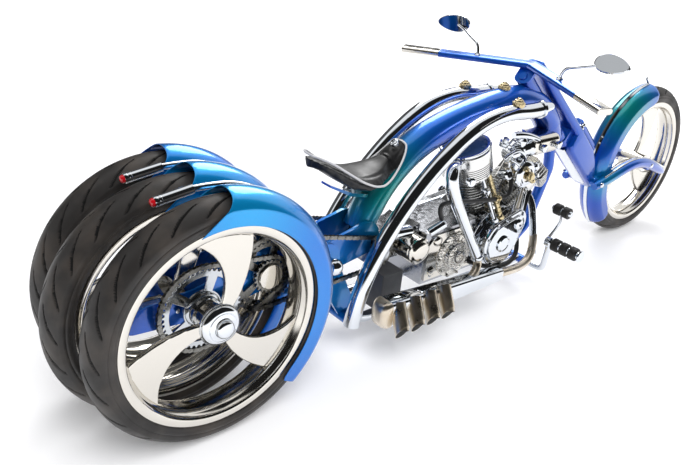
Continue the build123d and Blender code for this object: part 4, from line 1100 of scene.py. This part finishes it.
# Columns: profile, place, direction, facets of each round body by the carburettor and the starter
bodies = (([(0, 0), (26, 0), (30, 4), (30, 40), (25, 44), (25, 62), (30, 66), (30, 96), (36, 104), (36, 112), (28, 116),
            (0, 116)], (1252, -62, 566), (1, -0.1, 0.16), 48),
          ([(0, 0), (24, 0), (28, 4), (28, 30), (24, 40), (12, 46), (0, 47)], (1300, -72, 548), (0, -0.3, -1), 40),
          ([(0, 0), (19, 0), (21, 3), (21, 24), (15, 32), (6, 36), (0, 36.5)], (1316, -66, 596), (0, -0.25, 1), 36),
          (plug(15, 51, 10), (1376, -70, 500), (0.3, -0.9, 0.35), 32),
          (plug(18, 53, 12), (1226, -72, 500), (-0.2, -0.9, 0.3), 32),
          (plug(22, 99, 16), (668, -92, 402), (1, 0, -0.1), 40),
          (plug(16, 69, 10), (842, -108, 372), (0.7, -0.3, 0.5), 32))
piece("carburettor_bodies", CHROME, *(turned(profile, axis_matrix(at(*place), way), facets)
                                      for profile, place, way, facets in bodies), sharp=30)
# Columns: foot, head, radius, finish of each push-rod tube
tubes = (((1178, -125, 342), (1112, -70, 520), 8, CHROME), ((1208, -125, 346), (1150, -66, 534), 9, BRASS),
         ((1290, -125, 356), (1392, -62, 442), 9, TINTED), ((1322, -125, 330), (1418, -58, 408), 9, CHROME),
         ((1342, -122, 318), (1440, -66, 388), 7, OXIDE), ((1264, -128, 352), (1368, -72, 446), 7, CHROME))
for k, (foot, top, r, made) in enumerate(tubes):
    way = Vector(top) - Vector(foot)
    n = way.length
    profile = [(0, 0), (r + 4, 0), (r + 5, 3), (r + 5, 12), (r + 1, 15), (r, 18)]
    if made is BRASS:
        for i in range(8):
            h = 26 + (n - 60) * i / 8
            profile += [(r, h), (r + 2.5, h + 2), (r + 2.5, h + 5), (r, h + 7)]
    profile += [(r, n - 18), (r + 1, n - 15), (r + 4, n - 12), (r + 4, n), (0, n)]
    piece(f"push_tube_{k}", made, turned(profile, axis_matrix(at(*foot), way), 24))
oil_run = [(905, -112, 390), (880, -116, 425), (862, -118, 468), (888, -118, 478), (1008, -118, 455), (1100, -118, 440),
           (1172, -118, 431), (1222, -118, 428), (1248, -116, 446), (1254, -104, 482), (1262, -84, 500)]
piece("oil_pipe", WRINKLE, tube(oil_run, 8, 4, 6))
return_run = [(1080, -100, 200), (1110, -135, 190), (1180, -150, 160), (1290, -150, 150), (1352, -130, 175),
              (1372, -100, 215)]
piece("return_pipe", WRINKLE, tube(return_run, 9, 4, 6))
# Columns: place, direction, radius, length, finish of small unions and plugs about the carburettor and heads
unions = [((1158, -118, 434), (1, 0, -0.1), 12, 30, BRASS), ((1258, -88, 492), (0.1, 0.6, 0.8), 11, 28, BRASS),
          ((1325, -118, 494), (0, -1, 0), 16, 26, BRASS), ((1300, -112, 520), (0, -1, 0.3), 9, 24, BRASS),
          ((1352, -112, 470), (0, -1, 0), 9, 24, BRASS), ((1204, -72, 610), (0, -0.4, 1), 16, 34, CHROME),
          ((1250, -60, 590), (0.3, -0.5, 1), 13, 40, CHROME), ((1290, -66, 600), (0.2, -0.6, 1), 11, 34, CHROME),
          ((1330, -50, 618), (0, -0.4, 1), 12, 30, CHROME), ((1400, -104, 585), (0, -1, 0), 14, 20, CHROME),
          ((1490, -104, 585), (0, -1, 0), 14, 20, CHROME), ((1110, -92, 470), (0, -1, 0), 10, 30, CHROME),
          ((1022, -96, 520), (-0.3, -1, 0.1), 14, 26, CHROME), ((1400, -84, 470), (0.2, -1, 0.2), 11, 30, CHROME)]
for k, (place, way, r, length, made) in enumerate(unions):
    piece(f"union_{k}", made, turned(fitting(r, length), axis_matrix(at(*place), way), 20), sharp=30)
piece("throttle_bell", CHROME,
      turned([(26, 92), (34, 92), (46, 88), (52, 80), (52, 76), (44, 70), (40, 60), (40, 0)],
             crosswise(1325, -30, 494), 64),
      tube([(1240, -96, 560), (1270, -110, 545), (1300, -104, 512), (1322, -96, 470)], 5, 3, 4),
      tube([(1262, -70, 640), (1300, -78, 640), (1360, -84, 625), (1402, -86, 606)], 13, 3, 6),
      tube([(1225, -78, 560), (1262, -92, 600), (1330, -92, 560), (1350, -80, 520)], 7, 3, 6))


# Exhaust

def chamber_ring(x, z, half, high, corner):
    """Rounded ring of the exhaust chamber, square to the machine's length."""
    return rounded_ring(z - high, z + high, half, corner, lambda n, y: at(x, y + CHAMBER_Y, n))


def pipe_ring(end, r, back, slanted):
    """Ring of a tail pipe, square to the pipe or in the slanted plane of its mouth."""
    ring = []
    for k in range(32):
        a = 2 * math.pi * k / 32
        point = end - aim * back + (across_pipe * math.cos(a) + up_pipe * math.sin(a)) * r
        if slanted:
            point = point - aim * ((point - end).dot(mouth_face) / aim.dot(mouth_face))
        ring.append(at(*point))
    return ring


sleeve_run = [(1030, -52, 556), (965, -86, 586), (912, -108, 588), (898, -118, 556), (918, -124, 500), (972, -140, 400),
              (1030, -154, 300), (1060, -160, 245)]
piece("rear_header_sleeve", CHROME, tube(sleeve_run, [15, 18, 22, 25, 22, 19, 18, 17], 4, 12),
      stands_for=("rear_header",))
rear_run = [(1052, -158, 262), (1066, -162, 236), (1058, -172, 206), (1020, -184, 192), (985, -190, 186)]
piece("rear_header_pipe", TINTED, tube(rear_run, 15))
piece("header_collar", CHROME, turned([(15, 0), (19, 0), (21, 3), (21, 13), (19, 16), (16, 18)],
                                      axis_matrix(at(1056, -159.5, 254), (0.45, -0.08, -0.9)), 40))
front_run = [(1436, -40, 392), (1446, -84, 360), (1440, -104, 300), (1424, -136, 236), (1396, -168, 174),
             (1330, -184, 144), (1240, -190, 156), (1140, -190, 168)]
piece("front_header_riser", CHROME, tube(front_run[:5], 14))
piece("front_header_pipe", TINTED, tube(front_run[3:], 16), stands_for=("front_header",))
box_rings = [chamber_ring(x, CHAMBER_Z - 24 * (x - 590) / 575, *size) for x, *size in (
    (592, 33, 43, 16), (596, 35, 45, 14), (1150, 22.5, 26, 14), (1165, 22, 25, 14), (1172, 17, 20, 12))]
piece("exhaust_chamber", CHROME, lofted(box_rings), stands_for=("exhaust_box",), sharp=30)
end_rings = [chamber_ring(x, CHAMBER_Z, *size) for x, *size in (
    (596, 36, 46, 15), (584, 36, 46, 16), (572, 32, 42, 18), (563, 25, 34, 18), (558, 14, 22, 12))]
piece("chamber_end", TINTED, lofted(end_rings), sharp=40)
aim, mouth_face = Vector((-0.25, -0.62, -0.745)).normalized(), Vector((0, -0.93, -0.37))
across_pipe = aim.cross(Vector((0, 0, 1))).normalized()
up_pipe = across_pipe.cross(aim)
outer, inner = [], []
for i in range(4):
    end = Vector((632 + 70 * i, -205, 223)) + aim * 96
    outer.append(lofted([pipe_ring(end, *row) for row in ((25, 92, False), (25, 0, True), (23.4, 0, True),
                                                          (22.4, 2, False))], False))
    # Painted shade: each inner skin is closed by a black disc across the mouth and another 30 mm in.
    inner.append(lofted([pipe_ring(end, *row) for row in ((23.3, 0, True), (22, 26, False), (10, 30, False))]))
piece("tail_pipe_tubes", TINTED, *outer, stands_for=("tail_pipes",), sharp=40)
piece("tail_pipe_painted_shade", PIPE_SHADE, *inner, sharp=40)


# Frame fittings, lamps and controls

for node, width, made in (("swingarm_leg_right", 2.0, PAINT), ("swingarm_leg_left", 2.0, PAINT),
                          ("frame_rear", 2.5, PAINT), ("battery", 4.0, GREY), ("output_sprockets", 1.0, NICKEL),
                          ("tail_lamps", 1.0, CHROME)):
    edged(node, width, made)
nuts = joined(*(cap_screw(r, crosswise(x, -70, z)) for x, z, r in (
    (JACK_X, JACK_Z, 7), (245, 520, 6), (238, 592, 6), (372, 232, 8), (436, 360, 9), (320, 372, 6), (120, 366, 6),
    (-60, 352, 7))))
piece("swingarm_screws", CHROME, nuts, mirrored(nuts), sharp=30)
caps = []
knurl = [polar(22 if i % 2 else 20.6, 360 * i / 56) for i in range(56)]
for place in ((1183, -120, 758), (1183, 120, 758), (1250, 0, 776)):
    up = Matrix.Translation(at(*place))
    caps.append(turned([(16, -8), (16, 10), (19, 11), (19, 28), (16, 30), (15, 34), (9, 37), (7, 40), (0, 41)], up, 40))
    caps.append(plate(knurl, [], 13, 26, 0.6, up @ Matrix.Rotation(math.pi / 2, 4, "X")))
piece("filler_knobs", BRASS, *caps, stands_for=("filler_caps",))
lamps, lenses = [], []
for y in (-81, 81):
    back = axis_matrix(at(-110, y, 679.2), (-0.99, 0, -0.14))
    lamps.append(turned([(12, -8), (13.5, -6), (13.5, -1), (12.6, 0), (12.6, 3), (13.8, 4), (13.8, 10), (12.4, 12),
                         (10.6, 12)], back, 40))
    lenses.append(turned([(0, 23), (5, 22.6), (9, 20.6), (10.8, 17), (11, 12), (11, 6), (0, 6)], back, 40))
piece("lamp_bezels", CHROME, *lamps)
piece("lamp_lenses", LENS, *lenses, stands_for=("tail_lenses",), sharp=40)
for hand, name in ((-1, "right"), (1, "left")):
    outward = (0, hand, 0)
    peg, pad = axis_matrix(at(1420, hand * 200, 238), outward), axis_matrix(at(1400, hand * 214, 386), outward)
    arm_run = [(1440, 104, 105), (1440, 170, 105), (1440, 196, 110), (1434, 204, 150), (1424, 212, 214),
               (1421, 214, 232)]
    lever_run = [(1412, 212, 262), (1436, 222, 300), (1440, 232, 345), (1404, 236, 388)]
    piece(f"peg_metal_{name}", CHROME, tube([(x, hand * y, z) for x, y, z in arm_run], 12, 3, 8),
          turned([(0, 0), (17, 0), (20, 2), (20, 22), (16, 26), (15, 28), (15, 146), (22, 148), (24, 151), (22, 154),
                  (0, 156)], peg, 32),
          turned([(0, -6), (10, -6), (11, 0), (11, 70), (9, 74), (0, 74)], pad, 28),
          tube([(x, hand * y, z) for x, y, z in lever_run], 5.5, 3, 6), stands_for=(f"foot_control_{name}",))
    # Columns: bar the rubbers sit on, its radius, length of a rubber, facets, where each starts
    piece(f"peg_rubbers_{name}", SLEEVE, *(
        turned([(r, h), (r + 8, h), (r + 10, h + 2), (r + 10, h + long - 2), (r + 8, h + long), (r, h + long)],
               bar, facets)
        for bar, r, long, facets, starts in ((peg, 15, 28, 32, (32, 70, 108)), (pad, 11, 26, 28, (4, 40)))
        for h in starts))
